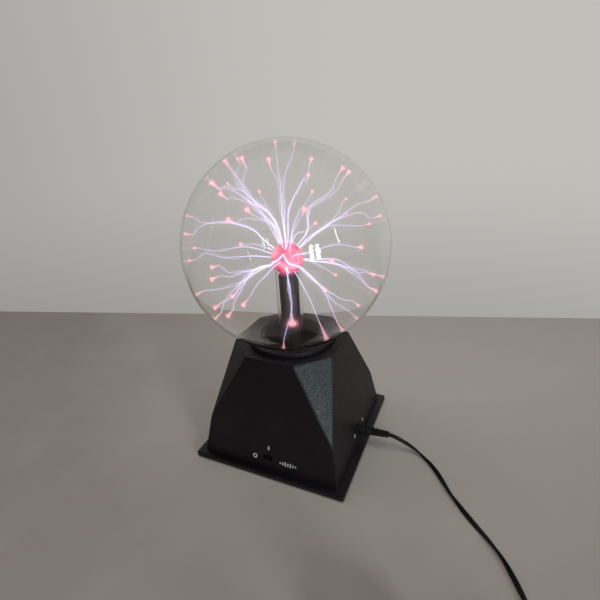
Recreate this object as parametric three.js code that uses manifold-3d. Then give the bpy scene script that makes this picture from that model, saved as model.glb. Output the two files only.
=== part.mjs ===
// A mains-adapter plasma globe: a clear glass ball on a tapered black base.
// Units are millimetres, +Z is up and the origin is on the table under the middle of the base.
// The front, with the slide switch, faces -Y, and the power socket is in the +X wall.

import * as THREE from 'three';
import { ConvexGeometry } from 'three/addons/geometries/ConvexGeometry.js';
import { mergeVertices } from 'three/addons/utils/BufferGeometryUtils.js';
import Module from 'manifold-3d';

const wasm = await Module();
wasm.setup();

// ---------------------------------------------------------------- driving dimensions

const GLOBE_RADIUS = 100;
const GLOBE_CENTRE_Z = 218.5;
const GLASS_WALL = 1.8;
const NECK_RADIUS = 20.5;
const NECK_BOTTOM_Z = 93;
const NECK_FILLET = 8;

const ELECTRODE_Z = 207;
const BULB_RADIUS = 16.6;
const STEM_RADIUS = 13.4;
const STEM_WALL = 1.2;
const SLEEVE_RADIUS = 10;

const FOOT_CLEARANCE = 1.2; // the base plate's underside above the table
const PLATE_TOP = 6;
const PLATE_HALF = 83.5;
const PLATE_CORNER = 2.5;

const BODY_TOP = 120.5;
const BODY_HALF_LOW = 76;
const BODY_HALF_HIGH = 54.5;
const CORNER_CUT = 28.5; // how far each top corner is cut back along both sides
const CORNER_APEX_Z = 47; // where the triangular corner facets end
const SHELL_WALL = 2.5;

const COLLAR_RADIUS = 46;
const COLLAR_TOP = 125.2;
const COLLAR_BORE = 33.8;

const BOARD_BOTTOM = 10.4;
const BOARD_TOP = 12;
const SWITCH_Z = 17.8;
const SWITCH_TRAVEL = 2.5; // from the middle position to either end
const SOCKET_Z = 18.5;

const CORD_RADIUS = 2.1;
const COIL_CENTRE = new THREE.Vector3(234, -170, 0);
const COIL_RADIUS = 23; // to the middle of its turns
const CLEARANCE = 0.3;

const CORNERS = [[-1, -1], [1, -1], [1, 1], [-1, 1]];

// ---------------------------------------------------------------- materials

function plastic(color, roughness) {
  return new THREE.MeshStandardMaterial({ color, roughness, metalness: 0 });
}

function metal(color, roughness) {
  return new THREE.MeshStandardMaterial({ color, roughness, metalness: 1 });
}

function clearGlass() {
  return new THREE.MeshStandardMaterial({
    color: 0xe8f0f2, roughness: 0.05, metalness: 0, transparent: true, opacity: 0.25,
  });
}

const BLACK_ABS = plastic(0x17161a, 0.6);
const BLACK_RUBBER = plastic(0x101012, 0.85);
const BLACK_PVC = plastic(0x0c0c0e, 0.5);
const STEEL = metal(0xa8aaae, 0.35);
const GLASS = clearGlass();

// ---------------------------------------------------------------- shapes and booleans

function enclosedVolume(position, index) {
  const a = new THREE.Vector3();
  const b = new THREE.Vector3();
  const c = new THREE.Vector3();
  let sum = 0;
  for (let i = 0; i < index.length; i += 3) {
    a.fromBufferAttribute(position, index[i]);
    b.fromBufferAttribute(position, index[i + 1]);
    c.fromBufferAttribute(position, index[i + 2]);
    sum += a.dot(b.cross(c)) / 6;
  }
  return sum;
}

// Turns a closed three.js geometry into a solid, facing outwards, with no zero-width triangles.
function solid(geometry) {
  const bare = geometry.clone();
  bare.deleteAttribute('normal');
  bare.deleteAttribute('uv');
  const welded = mergeVertices(bare);
  const index = welded.index.array;
  const triangles = [];
  for (let i = 0; i < index.length; i += 3) {
    const [a, b, c] = index.slice(i, i + 3);
    if (a !== b && b !== c && c !== a) triangles.push(a, b, c);
  }
  const position = welded.attributes.position;
  if (enclosedVolume(position, triangles) < 0) triangles.reverse();
  return new wasm.Manifold(new wasm.Mesh({
    numProp: 3,
    vertProperties: new Float32Array(position.array),
    triVerts: new Uint32Array(triangles),
  }));
}

function box([x0, x1], [y0, y1], [z0, z1]) {
  const geometry = new THREE.BoxGeometry(x1 - x0, y1 - y0, z1 - z0);
  geometry.translate((x0 + x1) / 2, (y0 + y1) / 2, (z0 + z1) / 2);
  return solid(geometry);
}

// An upright cylinder from z0 to z1 at (x, y).
function post(x, y, radius, z0, z1, segments = 12) {
  const geometry = new THREE.CylinderGeometry(radius, radius, z1 - z0, segments);
  geometry.rotateX(Math.PI / 2);
  geometry.translate(x, y, (z0 + z1) / 2);
  return solid(geometry);
}

// A cylinder along +X from x0 to x1, on the line y = 0 at height z.
function bar(radius, x0, x1, z, segments = 24) {
  const geometry = new THREE.CylinderGeometry(radius, radius, x1 - x0, segments);
  geometry.rotateZ(Math.PI / 2);
  geometry.translate((x0 + x1) / 2, 0, z);
  return solid(geometry);
}

// A solid of revolution about Z from [radius, height] pairs.
function turned(profile, segments = 32) {
  const points = profile.map(([radius, height]) => new THREE.Vector2(radius, height));
  const geometry = new THREE.LatheGeometry(points, segments);
  geometry.rotateX(Math.PI / 2);
  return solid(geometry);
}

// A ring: the closed section turned about Z.
function turnedRing(section, segments = 32) {
  return turned([...section, section[0]], segments);
}

// [radius, height] pairs along an arc; angles are in degrees from the outward direction.
function arc(centreRadius, centreHeight, radius, fromDegrees, toDegrees, steps) {
  const points = [];
  for (let i = 0; i <= steps; i += 1) {
    const angle = THREE.MathUtils.degToRad(fromDegrees + ((toDegrees - fromDegrees) * i) / steps);
    points.push([centreRadius + radius * Math.cos(angle), centreHeight + radius * Math.sin(angle)]);
  }
  return points;
}

function roundedSquare(half, corner) {
  const shape = new THREE.Shape();
  shape.moveTo(-half + corner, -half);
  shape.lineTo(half - corner, -half);
  shape.absarc(half - corner, -half + corner, corner, -Math.PI / 2, 0);
  shape.lineTo(half, half - corner);
  shape.absarc(half - corner, half - corner, corner, 0, Math.PI / 2);
  shape.lineTo(-half + corner, half);
  shape.absarc(-half + corner, half - corner, corner, Math.PI / 2, Math.PI);
  shape.lineTo(-half, -half + corner);
  shape.absarc(-half + corner, -half + corner, corner, Math.PI, 1.5 * Math.PI);
  return shape;
}

function slab(shape, z0, z1, curveSegments = 4) {
  const geometry = new THREE.ExtrudeGeometry(shape, { depth: z1 - z0, bevelEnabled: false, curveSegments });
  geometry.translate(0, 0, z0);
  return solid(geometry);
}

function regularPolygon(radius, sides) {
  const shape = new THREE.Shape();
  for (let i = 0; i < sides; i += 1) {
    const angle = (2 * Math.PI * (i + 0.5)) / sides;
    const point = [radius * Math.cos(angle), radius * Math.sin(angle)];
    if (i === 0) shape.moveTo(...point);
    else shape.lineTo(...point);
  }
  shape.closePath();
  return shape;
}

// A round lead swept along a smooth curve through the points.
function tube(points, radius, steps, sides = 8) {
  const path = new THREE.CatmullRomCurve3(points.map((p) => new THREE.Vector3(...p)), false, 'centripetal');
  return solid(new THREE.ExtrudeGeometry(regularPolygon(radius, sides), { steps, extrudePath: path }));
}

function joined(first, ...others) {
  return others.reduce((whole, piece) => whole.add(piece), first);
}

function cut(whole, ...holes) {
  return holes.reduce((rest, hole) => rest.subtract(hole), whole);
}

function piece(name, shape, material) {
  const { numProp, vertProperties, triVerts } = shape.getMesh();
  const position = new Float32Array((vertProperties.length / numProp) * 3);
  for (let i = 0; i < position.length / 3; i += 1) {
    position.set(vertProperties.subarray(i * numProp, i * numProp + 3), i * 3);
  }
  const geometry = new THREE.BufferGeometry();
  geometry.setAttribute('position', new THREE.BufferAttribute(position, 3));
  geometry.setIndex(new THREE.BufferAttribute(new Uint32Array(triVerts), 1));
  geometry.computeVertexNormals();
  const mesh = new THREE.Mesh(geometry, material);
  mesh.name = name;
  return mesh;
}

// Lays a piece that was turned about Z along the line from one point towards another.
function layAlong(mesh, from, to) {
  const start = new THREE.Vector3(...from);
  const direction = new THREE.Vector3(...to).sub(start).normalize();
  mesh.position.copy(start);
  mesh.quaternion.setFromUnitVectors(new THREE.Vector3(0, 0, 1), direction);
  return mesh;
}

function group(...meshes) {
  return new THREE.Group().add(...meshes);
}

// ---------------------------------------------------------------- base: shell, plate, feet, screws

const BODY_TAPER = (BODY_HALF_LOW - BODY_HALF_HIGH) / (BODY_TOP - PLATE_TOP);
const PLATE_SCREW_OFFSET = 62;
const FOOT_OFFSET = 70;
const FOOT_RADIUS = 6;
const FOOT_HEIGHT = 2;
const NECK_CAP_SCREWS = [90, 210, 330].map((degrees) => {
  const angle = THREE.MathUtils.degToRad(degrees);
  const pitchRadius = 42;
  return [pitchRadius * Math.cos(angle), pitchRadius * Math.sin(angle)];
});
const NECK_FLANGE_TOP = 108;

// Half the body's outside width at a height.
function bodyHalf(z) {
  return BODY_HALF_LOW - (z - PLATE_TOP) * BODY_TAPER;
}

// The tapered body, square below and eight-sided on top, moved in by an inset.
function bodyBlock(inset, bottom, top) {
  const low = bodyHalf(bottom) - inset;
  const middle = bodyHalf(CORNER_APEX_Z) - inset;
  const high = bodyHalf(top) - inset;
  const points = [];
  for (const [sx, sy] of CORNERS) {
    points.push(new THREE.Vector3(sx * low, sy * low, bottom));
    points.push(new THREE.Vector3(sx * middle, sy * middle, CORNER_APEX_Z));
    points.push(new THREE.Vector3(sx * high, sy * (high - CORNER_CUT), top));
    points.push(new THREE.Vector3(sx * (high - CORNER_CUT), sy * high, top));
  }
  return solid(new ConvexGeometry(points));
}

function baseShell() {
  const outside = bodyBlock(0, PLATE_TOP, BODY_TOP);
  const hollow = bodyBlock(SHELL_WALL, PLATE_TOP - 1, BODY_TOP - SHELL_WALL);
  const cornerBossTop = 75;
  const bosses = CORNERS.map(([sx, sy]) => (
    post(sx * PLATE_SCREW_OFFSET, sy * PLATE_SCREW_OFFSET, 5, PLATE_TOP, cornerBossTop).intersect(outside)
  ));
  const capBosses = NECK_CAP_SCREWS.map(([x, y]) => post(x, y, 4, NECK_FLANGE_TOP, BODY_TOP - 1));
  const screwHoles = CORNERS.map(([sx, sy]) => (
    post(sx * PLATE_SCREW_OFFSET, sy * PLATE_SCREW_OFFSET, 1.6, PLATE_TOP - 1, 19, 8)
  ));
  const capScrewHoles = NECK_CAP_SCREWS.map(([x, y]) => post(x, y, 1.6, NECK_FLANGE_TOP - 1, 117, 8));
  const throat = post(0, 0, COLLAR_BORE + 5.3, NECK_FLANGE_TOP, BODY_TOP + 1, 48);
  const switchSlot = box([-5, 5], [-80, -66], [SWITCH_Z - 2.6, SWITCH_Z + 2.6]);
  const socketHole = bar(6.2, 62, 80, SOCKET_Z);
  return cut(
    joined(cut(outside, hollow), ...bosses, ...capBosses),
    ...screwHoles, ...capScrewHoles, throat, switchSlot, socketHole,
  );
}

const BOARD_SCREWS = [[-34, -62], [34, -62], [62, 34], [-34, 34]];

function basePlate() {
  const plate = slab(roundedSquare(PLATE_HALF, PLATE_CORNER), FOOT_CLEARANCE, PLATE_TOP);
  const standoffs = BOARD_SCREWS.map(([x, y]) => post(x, y, 3, PLATE_TOP - 1, BOARD_BOTTOM));
  const standoffHoles = BOARD_SCREWS.map(([x, y]) => post(x, y, 1.2, 3.5, BOARD_BOTTOM + 1, 8));
  const screwHoles = CORNERS.flatMap(([sx, sy]) => {
    const x = sx * PLATE_SCREW_OFFSET;
    const y = sy * PLATE_SCREW_OFFSET;
    return [post(x, y, 1.8, 0, PLATE_TOP + 1, 8), post(x, y, 3.6, 0, 3.4)];
  });
  const footRecesses = CORNERS.map(([sx, sy]) => (
    post(sx * FOOT_OFFSET, sy * FOOT_OFFSET, FOOT_RADIUS + CLEARANCE, 0, FOOT_HEIGHT)
  ));
  return cut(joined(plate, ...standoffs), ...standoffHoles, ...screwHoles, ...footRecesses);
}

// A screw turned about Z with its head on top; its tip is at depth below the head.
function screw(headRadius, headHeight, shankRadius, depth) {
  const dome = headHeight * 0.35;
  return turned([
    [0, -depth], [shankRadius * 0.5, -depth], [shankRadius, 1 - depth], [shankRadius, 0],
    [headRadius, 0], [headRadius, headHeight - dome], [headRadius * 0.7, headHeight], [0, headHeight],
  ], 8);
}

function base() {
  const meshes = [
    piece('base_shell', baseShell(), BLACK_ABS),
    piece('base_plate', basePlate(), BLACK_ABS),
  ];
  const places = ['front_left', 'front_right', 'back_right', 'back_left'];
  CORNERS.forEach(([sx, sy], i) => {
    const foot = post(sx * FOOT_OFFSET, sy * FOOT_OFFSET, FOOT_RADIUS, 0, FOOT_HEIGHT);
    meshes.push(piece(`foot_${places[i]}`, foot, BLACK_RUBBER));
    const plateScrew = piece(`plate_screw_${places[i]}`, screw(3.2, 1.8, 1.3, 14), STEEL);
    plateScrew.position.set(sx * PLATE_SCREW_OFFSET, sy * PLATE_SCREW_OFFSET, 3.4);
    plateScrew.rotation.x = Math.PI;
    meshes.push(plateScrew);
  });
  return group(...meshes);
}

// ---------------------------------------------------------------- collar, globe and electrode

// Height of the globe's outside on its lower half, at a radius.
function globeUnderside(radius) {
  return GLOBE_CENTRE_Z - Math.sqrt(GLOBE_RADIUS ** 2 - radius ** 2);
}

const SEAT_OUTER = [38.6, COLLAR_TOP - 0.2];
const SEAT_INNER = [COLLAR_BORE, COLLAR_TOP - 3.3];
const COLLAR_SKIRT_BOTTOM = 113;

function collar() {
  return turnedRing([
    [COLLAR_RADIUS, BODY_TOP], [COLLAR_RADIUS, COLLAR_TOP - 1.2], [COLLAR_RADIUS - 1.2, COLLAR_TOP],
    [SEAT_OUTER[0] + 0.4, COLLAR_TOP], SEAT_OUTER, SEAT_INNER,
    [COLLAR_BORE, COLLAR_SKIRT_BOTTOM], [COLLAR_BORE + 5, COLLAR_SKIRT_BOTTOM], [COLLAR_BORE + 5, BODY_TOP],
  ], 48);
}

// Height of the collar's sloping seat at a radius.
function seatHeight(radius) {
  const slope = (SEAT_OUTER[1] - SEAT_INNER[1]) / (SEAT_OUTER[0] - SEAT_INNER[0]);
  return SEAT_INNER[1] + slope * (radius - SEAT_INNER[0]);
}

// The foam ring that fills the space between the seat and the glass.
function collarGasket() {
  const inner = COLLAR_BORE + 0.9;
  const outer = 37.4;
  return turnedRing([
    [inner, seatHeight(inner) + CLEARANCE], [outer, seatHeight(outer) + CLEARANCE],
    [outer, globeUnderside(outer) - CLEARANCE], [inner, globeUnderside(inner) - CLEARANCE],
  ], 40);
}

// One side of the globe's wall, from the neck's bottom to the top of the ball.
function globeProfile(inset) {
  const fillet = NECK_FILLET + inset;
  const neck = NECK_RADIUS - inset;
  const ball = GLOBE_RADIUS - inset;
  const reach = NECK_RADIUS + NECK_FILLET;
  const drop = Math.sqrt((GLOBE_RADIUS + NECK_FILLET) ** 2 - reach ** 2);
  const filletZ = GLOBE_CENTRE_Z - drop;
  const meetDegrees = THREE.MathUtils.radToDeg(Math.atan2(drop, reach));
  return [
    [neck, NECK_BOTTOM_Z],
    ...arc(reach, filletZ, fillet, 180, 180 - meetDegrees, 3),
    ...arc(0, GLOBE_CENTRE_Z, ball, -meetDegrees, 0, 6).slice(1),
    ...arc(0, GLOBE_CENTRE_Z, ball, 0, 90, 8).slice(1, -1),
    [0, GLOBE_CENTRE_Z + ball],
  ];
}

function glassGlobe() {
  return turned([...globeProfile(GLASS_WALL).reverse(), ...globeProfile(0)], 40);
}

// One side of the inner glass: flared foot, straight stem and round bulb.
function stemProfile(inset) {
  const stem = STEM_RADIUS - inset;
  const bulb = BULB_RADIUS - inset;
  const footRadius = NECK_RADIUS - GLASS_WALL - CLEARANCE - 0.3 - inset;
  const joinDegrees = THREE.MathUtils.radToDeg(Math.acos(stem / bulb));
  return [
    [footRadius, NECK_BOTTOM_Z],
    [footRadius, NECK_BOTTOM_Z + 6],
    [(footRadius + stem) / 2, NECK_BOTTOM_Z + 16],
    [stem, NECK_BOTTOM_Z + 30],
    ...arc(0, ELECTRODE_Z, bulb, -joinDegrees, 90, 6).slice(0, -1),
    [0, ELECTRODE_Z + bulb],
  ];
}

function innerGlass() {
  return turned([...stemProfile(STEM_WALL).reverse(), ...stemProfile(0)], 24);
}

const SLEEVE_TOP = 191;
const CORE_RADIUS = 15;
const ROD_TOP = ELECTRODE_Z - CORE_RADIUS;
const ROD_BOTTOM = 81;
const CAP_FLOOR = 90.4;
const CAP_FLOOR_TOP = NECK_BOTTOM_Z - CLEARANCE;
const CAP_HOLE = 4;
const BOOT_BOTTOM = 77;

function stemSleeve() {
  const bore = SLEEVE_RADIUS - 1.6;
  return turnedRing([
    [bore, CAP_FLOOR_TOP], [SLEEVE_RADIUS, CAP_FLOOR_TOP], [SLEEVE_RADIUS, SLEEVE_TOP - 0.8],
    [SLEEVE_RADIUS - 0.8, SLEEVE_TOP], [bore, SLEEVE_TOP],
  ], 20);
}

function electrodeCore() {
  return turned([
    [0, ELECTRODE_Z - CORE_RADIUS],
    ...arc(0, ELECTRODE_Z, CORE_RADIUS, -90, 90, 8).slice(1, -1),
    [0, ELECTRODE_Z + CORE_RADIUS],
  ], 16);
}

function neckCap() {
  const cup = turnedRing([
    [CAP_HOLE, CAP_FLOOR], [24, CAP_FLOOR], [24, NECK_FLANGE_TOP - 3.2], [48, NECK_FLANGE_TOP - 3.2],
    [48, NECK_FLANGE_TOP], [NECK_RADIUS + CLEARANCE, NECK_FLANGE_TOP],
    [NECK_RADIUS + CLEARANCE, CAP_FLOOR_TOP], [CAP_HOLE, CAP_FLOOR_TOP],
  ], 28);
  return cut(cup, ...NECK_CAP_SCREWS.map(([x, y]) => post(x, y, 1.8, 100, NECK_FLANGE_TOP + 1, 8)));
}

function highVoltageBoot() {
  return turned([
    [0, BOOT_BOTTOM], [5.5, BOOT_BOTTOM], [7, BOOT_BOTTOM + 1.5], [7, 87], [6, CAP_FLOOR],
    [1.5, CAP_FLOOR], [1.5, ROD_BOTTOM - CLEARANCE], [0, ROD_BOTTOM - CLEARANCE],
  ], 14);
}

function globeAssembly() {
  const meshes = [
    piece('globe_collar', collar(), BLACK_ABS),
    piece('collar_gasket', collarGasket(), plastic(0x1c1c1e, 0.95)),
    piece('glass_globe', glassGlobe(), GLASS),
    piece('inner_glass_stem', innerGlass(), GLASS),
    piece('stem_sleeve', stemSleeve(), plastic(0x0a0a0c, 0.5)),
    piece('electrode_core', electrodeCore(), plastic(0xd8484c, 0.5)),
    piece('conductor_rod', post(0, 0, 1.2, ROD_BOTTOM, ROD_TOP, 10), STEEL),
    piece('neck_cap', neckCap(), plastic(0x141416, 0.55)),
    piece('high_voltage_boot', highVoltageBoot(), plastic(0xb23a2e, 0.7)),
  ];
  NECK_CAP_SCREWS.forEach(([x, y], i) => {
    const capScrew = piece(`cap_screw_${i + 1}`, screw(3.2, 1.8, 1.3, 11), STEEL);
    capScrew.position.set(x, y, NECK_FLANGE_TOP - 3.2);
    capScrew.rotation.x = Math.PI;
    meshes.push(capScrew);
  });
  return group(...meshes);
}

// ---------------------------------------------------------------- circuit board and its parts

const TRANSFORMER = { x: -5, y: -25, legHalf: 5, depthHalf: 5.5, pitch: 30, windowLow: 22, windowHigh: 44 };

// Square, with its front right corner cut off to pass the shell's screw boss.
function boardOutline() {
  const shape = new THREE.Shape();
  shape.moveTo(-40, -69.2);
  shape.lineTo(40, -69.2);
  shape.lineTo(69.2, -40);
  shape.lineTo(69.2, 40);
  shape.lineTo(-40, 40);
  shape.closePath();
  return shape;
}

function circuitBoard() {
  const holes = BOARD_SCREWS.map(([x, y]) => post(x, y, 1.4, BOARD_BOTTOM - 1, BOARD_TOP + 1, 8));
  return cut(slab(boardOutline(), BOARD_BOTTOM, BOARD_TOP), ...holes);
}

// A rectangular ferrite frame standing on the board.
function transformerCore() {
  const { x, y, legHalf, depthHalf, pitch, windowLow, windowHigh } = TRANSFORMER;
  const depth = [y - depthHalf, y + depthHalf];
  const frame = box([x - legHalf, x + pitch + legHalf], depth, [BOARD_TOP, windowHigh + 10]);
  const through = [depth[0] - 1, depth[1] + 1];
  return cut(frame, box([x + legHalf, x + pitch - legHalf], through, [windowLow, windowHigh]));
}

// The wound bobbin around the frame's left leg.
function transformerWinding() {
  const { x, y, legHalf, depthHalf, windowLow, windowHigh } = TRANSFORMER;
  const low = windowLow + CLEARANCE;
  const high = windowHigh - CLEARANCE;
  const winding = turned([
    [0, low], [13, low], [13, low + 1.5], [11.5, low + 1.5], [11.5, high - 1.5], [13, high - 1.5],
    [13, high], [0, high],
  ], 18).translate([x, y, 0]);
  const legX = legHalf + CLEARANCE;
  const legY = depthHalf + CLEARANCE;
  return cut(winding, box([x - legX, x + legX], [y - legY, y + legY], [low - 1, high + 1]));
}

function capacitor(x, y, radius, height) {
  return turned([
    [0, 0], [radius - 0.5, 0], [radius, 0.6], [radius, 2.4], [radius - 0.5, 3], [radius, 3.6],
    [radius, height - 0.6], [radius - 0.6, height], [radius - 1.4, height - 0.4], [0, height - 0.4],
  ], 14).translate([x, y, BOARD_TOP]);
}

function heatSink() {
  const back = box([-35, -5], [8, 11], [BOARD_TOP, 40]);
  const fins = [-35, -28.3, -21.2, -13.9, -7].map((x) => box([x, x + 2], [10, 21], [BOARD_TOP, 40]));
  return joined(back, ...fins);
}

function powerTransistor() {
  const tab = box([-25, -15], [7, 8], [18, 36]);
  const body = box([-25, -15], [3.4, 7.5], [18, 27.5]);
  const legs = [-23, -20, -17].map((x) => box([x - 0.4, x + 0.4], [4.6, 5.2], [BOARD_TOP, 18.5]));
  return joined(tab, body, ...legs);
}

function driverChip() {
  const x = 42;
  const y = -38;
  const body = box([x - 4.9, x + 4.9], [y - 3.2, y + 3.2], [BOARD_TOP + 0.6, BOARD_TOP + 4]);
  const legs = [-3.8, -1.3, 1.3, 3.8].flatMap((along) => [-1, 1].map((side) => {
    const across = [y + side * 3.9, y + side * 3.1].sort((a, b) => a - b);
    return box([x + along - 0.4, x + along + 0.4], across, [BOARD_TOP, BOARD_TOP + 2.4]);
  }));
  return joined(body, ...legs);
}

function microphone() {
  return turned([
    [0, 0], [4.6, 0], [4.8, 0.3], [4.8, 6], [4.4, 6.4], [2.2, 6.4], [2.2, 6], [0, 6],
  ], 14).translate([-22, -58, BOARD_TOP]);
}

function soundTrimmer() {
  const housing = box([-31.5, -24.5], [-46.5, -39.5], [BOARD_TOP, BOARD_TOP + 4]);
  const dial = post(-28, -43, 2.6, BOARD_TOP + 3, BOARD_TOP + 5, 16);
  const slot = box([-30.2, -25.8], [-43.4, -42.6], [BOARD_TOP + 4.4, BOARD_TOP + 6]);
  return cut(joined(housing, dial), slot);
}

const LEAD_ROUTE = [
  [TRANSFORMER.x - 11.5 - CLEARANCE, TRANSFORMER.y, 37], [-22, -25, 38], [-27, -22, 46], [-23, -14, 60],
  [-12, -6, 68], [-3, -1.5, 70.5], [0, 0, 73.5], [0, 0, BOOT_BOTTOM - CLEARANCE],
];

function electronics() {
  const meshes = [
    piece('circuit_board', circuitBoard(), plastic(0x1f5a3a, 0.5)),
    piece('transformer_core', transformerCore(), plastic(0x2b2b2e, 0.7)),
    piece('transformer_winding', transformerWinding(), plastic(0xb06a28, 0.5)),
    piece('high_voltage_lead', tube(LEAD_ROUTE, 1.6, 14), plastic(0xa81e1e, 0.5)),
    piece('supply_capacitor', capacitor(36, 22, 8, 25), plastic(0x1b2c58, 0.4)),
    piece('timing_capacitor', capacitor(14, 28, 5, 12), plastic(0x1b2c58, 0.4)),
    piece('heat_sink', heatSink(), metal(0xb4b6ba, 0.45)),
    piece('power_transistor', powerTransistor(), plastic(0x141416, 0.5)),
    piece('driver_chip', driverChip(), plastic(0x141416, 0.5)),
    piece('microphone', microphone(), metal(0x9c9ea2, 0.4)),
    piece('sound_trimmer', soundTrimmer(), plastic(0x2d5fa8, 0.5)),
  ];
  BOARD_SCREWS.forEach(([x, y], i) => {
    const boardScrew = piece(`board_screw_${i + 1}`, screw(2.6, 1.6, 0.9, 7.4), STEEL);
    boardScrew.position.set(x, y, BOARD_TOP);
    meshes.push(boardScrew);
  });
  return group(...meshes);
}

// ---------------------------------------------------------------- slide switch and power socket

const SLIDER = { half: 3.8, front: -68.3, back: -64.7, halfHeight: 2.2 };
const SHANK_HALF = 2;
const SHANK_HALF_HEIGHT = 1.6;
const KNOB_TIP = -76;

function switchFrame() {
  const outside = box([-8, 8], [-70, -62.5], [BOARD_TOP, SWITCH_Z + 3.8]);
  const reach = SLIDER.half + SWITCH_TRAVEL + CLEARANCE;
  const chamber = box([-reach, reach], [-68.6, -64.4], [SWITCH_Z - 2.5, SWITCH_Z + 2.5]);
  const window = box([-5, 5], [-71, -68], [SWITCH_Z - 1.9, SWITCH_Z + 1.9]);
  return cut(outside, chamber, window);
}

// The slider inside the frame with its shank, which ends in a ribbed finger grip.
function switchKnob() {
  const { half, front, back, halfHeight } = SLIDER;
  const slider = box([-half, half], [front, back], [SWITCH_Z - halfHeight, SWITCH_Z + halfHeight]);
  const height = [SWITCH_Z - SHANK_HALF_HEIGHT, SWITCH_Z + SHANK_HALF_HEIGHT];
  const shank = box([-SHANK_HALF, SHANK_HALF], [KNOB_TIP, front + 1], height);
  const grooves = [-1.1, 0, 1.1].map((x) => (
    box([x - 0.25, x + 0.25], [KNOB_TIP - 1, KNOB_TIP + 0.5], [height[0] - 1, height[1] + 1])
  ));
  return cut(joined(slider, shank), ...grooves);
}

const SOCKET_FRONT = 69.7;
const SOCKET_BORE_END = 59.5;
const PLUG_FACE = 70.2;
const PLUG_LENGTH = 17.8;
const RELIEF_START = [PLUG_FACE + PLUG_LENGTH + 2 * CLEARANCE, 0, SOCKET_Z]; // its face is tilted
const RELIEF_END = [107, 2, 18];

function powerSocket() {
  const housing = box([56, SOCKET_FRONT], [-4.5, 4.5], [BOARD_TOP, SOCKET_Z + 4.5]);
  return cut(housing, bar(3.1, SOCKET_BORE_END, SOCKET_FRONT + 1, SOCKET_Z));
}

function controls() {
  return group(
    piece('switch_frame', switchFrame(), STEEL),
    piece('switch_knob', switchKnob(), BLACK_ABS),
    piece('power_socket', powerSocket(), BLACK_ABS),
    piece('socket_pin', bar(1, SOCKET_BORE_END, SOCKET_FRONT - 1, SOCKET_Z, 12), STEEL),
  );
}

// ---------------------------------------------------------------- power lead and adapter

// The lead droops from the plug to the table, swings to the front and reaches its coil.
const LEAD_TO_COIL = [
  [107.5, 2.1, 17.9], [112, 2.5, 16.8], [118, 3, 14.2], [128, 4, 8.9], [138, 2, 4.6], [148, -4.5, 2.6],
  [158, -15, 2.1], [167, -27, 2.1], [175, -39, 2.1], [184, -50.5, 2.1], [194, -61, 2.1], [206, -72.5, 2.1],
  [217, -86, 2.1], [226, -101, 2.1], [235, -118, 2.1], [243, -133, 2.1], [249, -144.5, 2.3],
];
const LEAD_TO_ADAPTER = [[215.4, -193, 6.2], [211, -193, 5.6], [206.3, -193, 5.2]];

const ADAPTER = { left: 131, right: 189, front: -212, back: -174, height: 27 };
const FAR_RELIEF_START = [ADAPTER.right + CLEARANCE, -193, 5.6];
const FAR_RELIEF_END = [206, -193, 5.2];
const COIL_TURNS = { halfWidth: 4.4, low: 0.9, high: 13.5 };
const TIE_BAND = 0.6;

function plugBarrel() {
  return cut(bar(2.75, 60.5, PLUG_FACE, SOCKET_Z), bar(1.3, 60, PLUG_FACE - 0.6, SOCKET_Z, 16));
}

function plugBody() {
  return turned([
    [0, 0], [4.7, 0], [5.4, 0.7], [5.4, 14.5], [4.7, 17], [4.2, PLUG_LENGTH], [0, PLUG_LENGTH],
  ], 24);
}

// A tapered sleeve with raised rings, turned about Z and as long as from one point to the other.
function strainRelief(from, to, wide, narrow, rings) {
  const length = new THREE.Vector3(...from).distanceTo(new THREE.Vector3(...to));
  const pitch = length / rings;
  const profile = [[0, 0]];
  for (let i = 0; i < rings; i += 1) {
    const radius = wide + ((narrow - wide) * i) / (rings - 1);
    profile.push([radius, pitch * i], [radius, pitch * (i + 0.6)]);
    profile.push([radius - 0.9, pitch * (i + 0.62)], [radius - 0.9, pitch * (i + 0.98)]);
  }
  profile.push([narrow - 0.9, length], [0, length]);
  return turned(profile, 12);
}

function coiledLead() {
  const inner = COIL_RADIUS - COIL_TURNS.halfWidth;
  const outer = COIL_RADIUS + COIL_TURNS.halfWidth;
  return turnedRing([
    [inner, COIL_TURNS.low], [outer, COIL_TURNS.low], [outer, COIL_TURNS.high], [inner, COIL_TURNS.high],
  ], 32);
}

// A flat band wrapped around the coil's turns.
function coilTie() {
  const gap = 0.5;
  const halfLength = 4;
  const inner = COIL_RADIUS - COIL_TURNS.halfWidth - gap - 0.4;
  const outer = COIL_RADIUS + COIL_TURNS.halfWidth + gap;
  const band = box(
    [-halfLength, halfLength], [inner - TIE_BAND, outer + TIE_BAND], [0, COIL_TURNS.high + gap + TIE_BAND],
  );
  return cut(band, box(
    [-halfLength - 1, halfLength + 1], [inner, outer], [TIE_BAND, COIL_TURNS.high + gap],
  ));
}

function adapterCase() {
  const corner = 4;
  const halfLength = (ADAPTER.right - ADAPTER.left) / 2;
  const halfWidth = (ADAPTER.back - ADAPTER.front) / 2;
  const shape = new THREE.Shape();
  shape.absarc(halfLength - corner, -halfWidth + corner, corner, -Math.PI / 2, 0);
  shape.absarc(halfLength - corner, halfWidth - corner, corner, 0, Math.PI / 2);
  shape.absarc(-halfLength + corner, halfWidth - corner, corner, Math.PI / 2, Math.PI);
  shape.absarc(-halfLength + corner, -halfWidth + corner, corner, Math.PI, 1.5 * Math.PI);
  return slab(shape, 0, ADAPTER.height).translate([
    (ADAPTER.left + ADAPTER.right) / 2, (ADAPTER.front + ADAPTER.back) / 2, 0,
  ]);
}

function adapterBlade(offset) {
  const x = ADAPTER.left + 22;
  const y = (ADAPTER.front + ADAPTER.back) / 2 + offset;
  return box([x - 3.15, x + 3.15], [y - 0.75, y + 0.75], [ADAPTER.height, ADAPTER.height + 17]);
}

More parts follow.
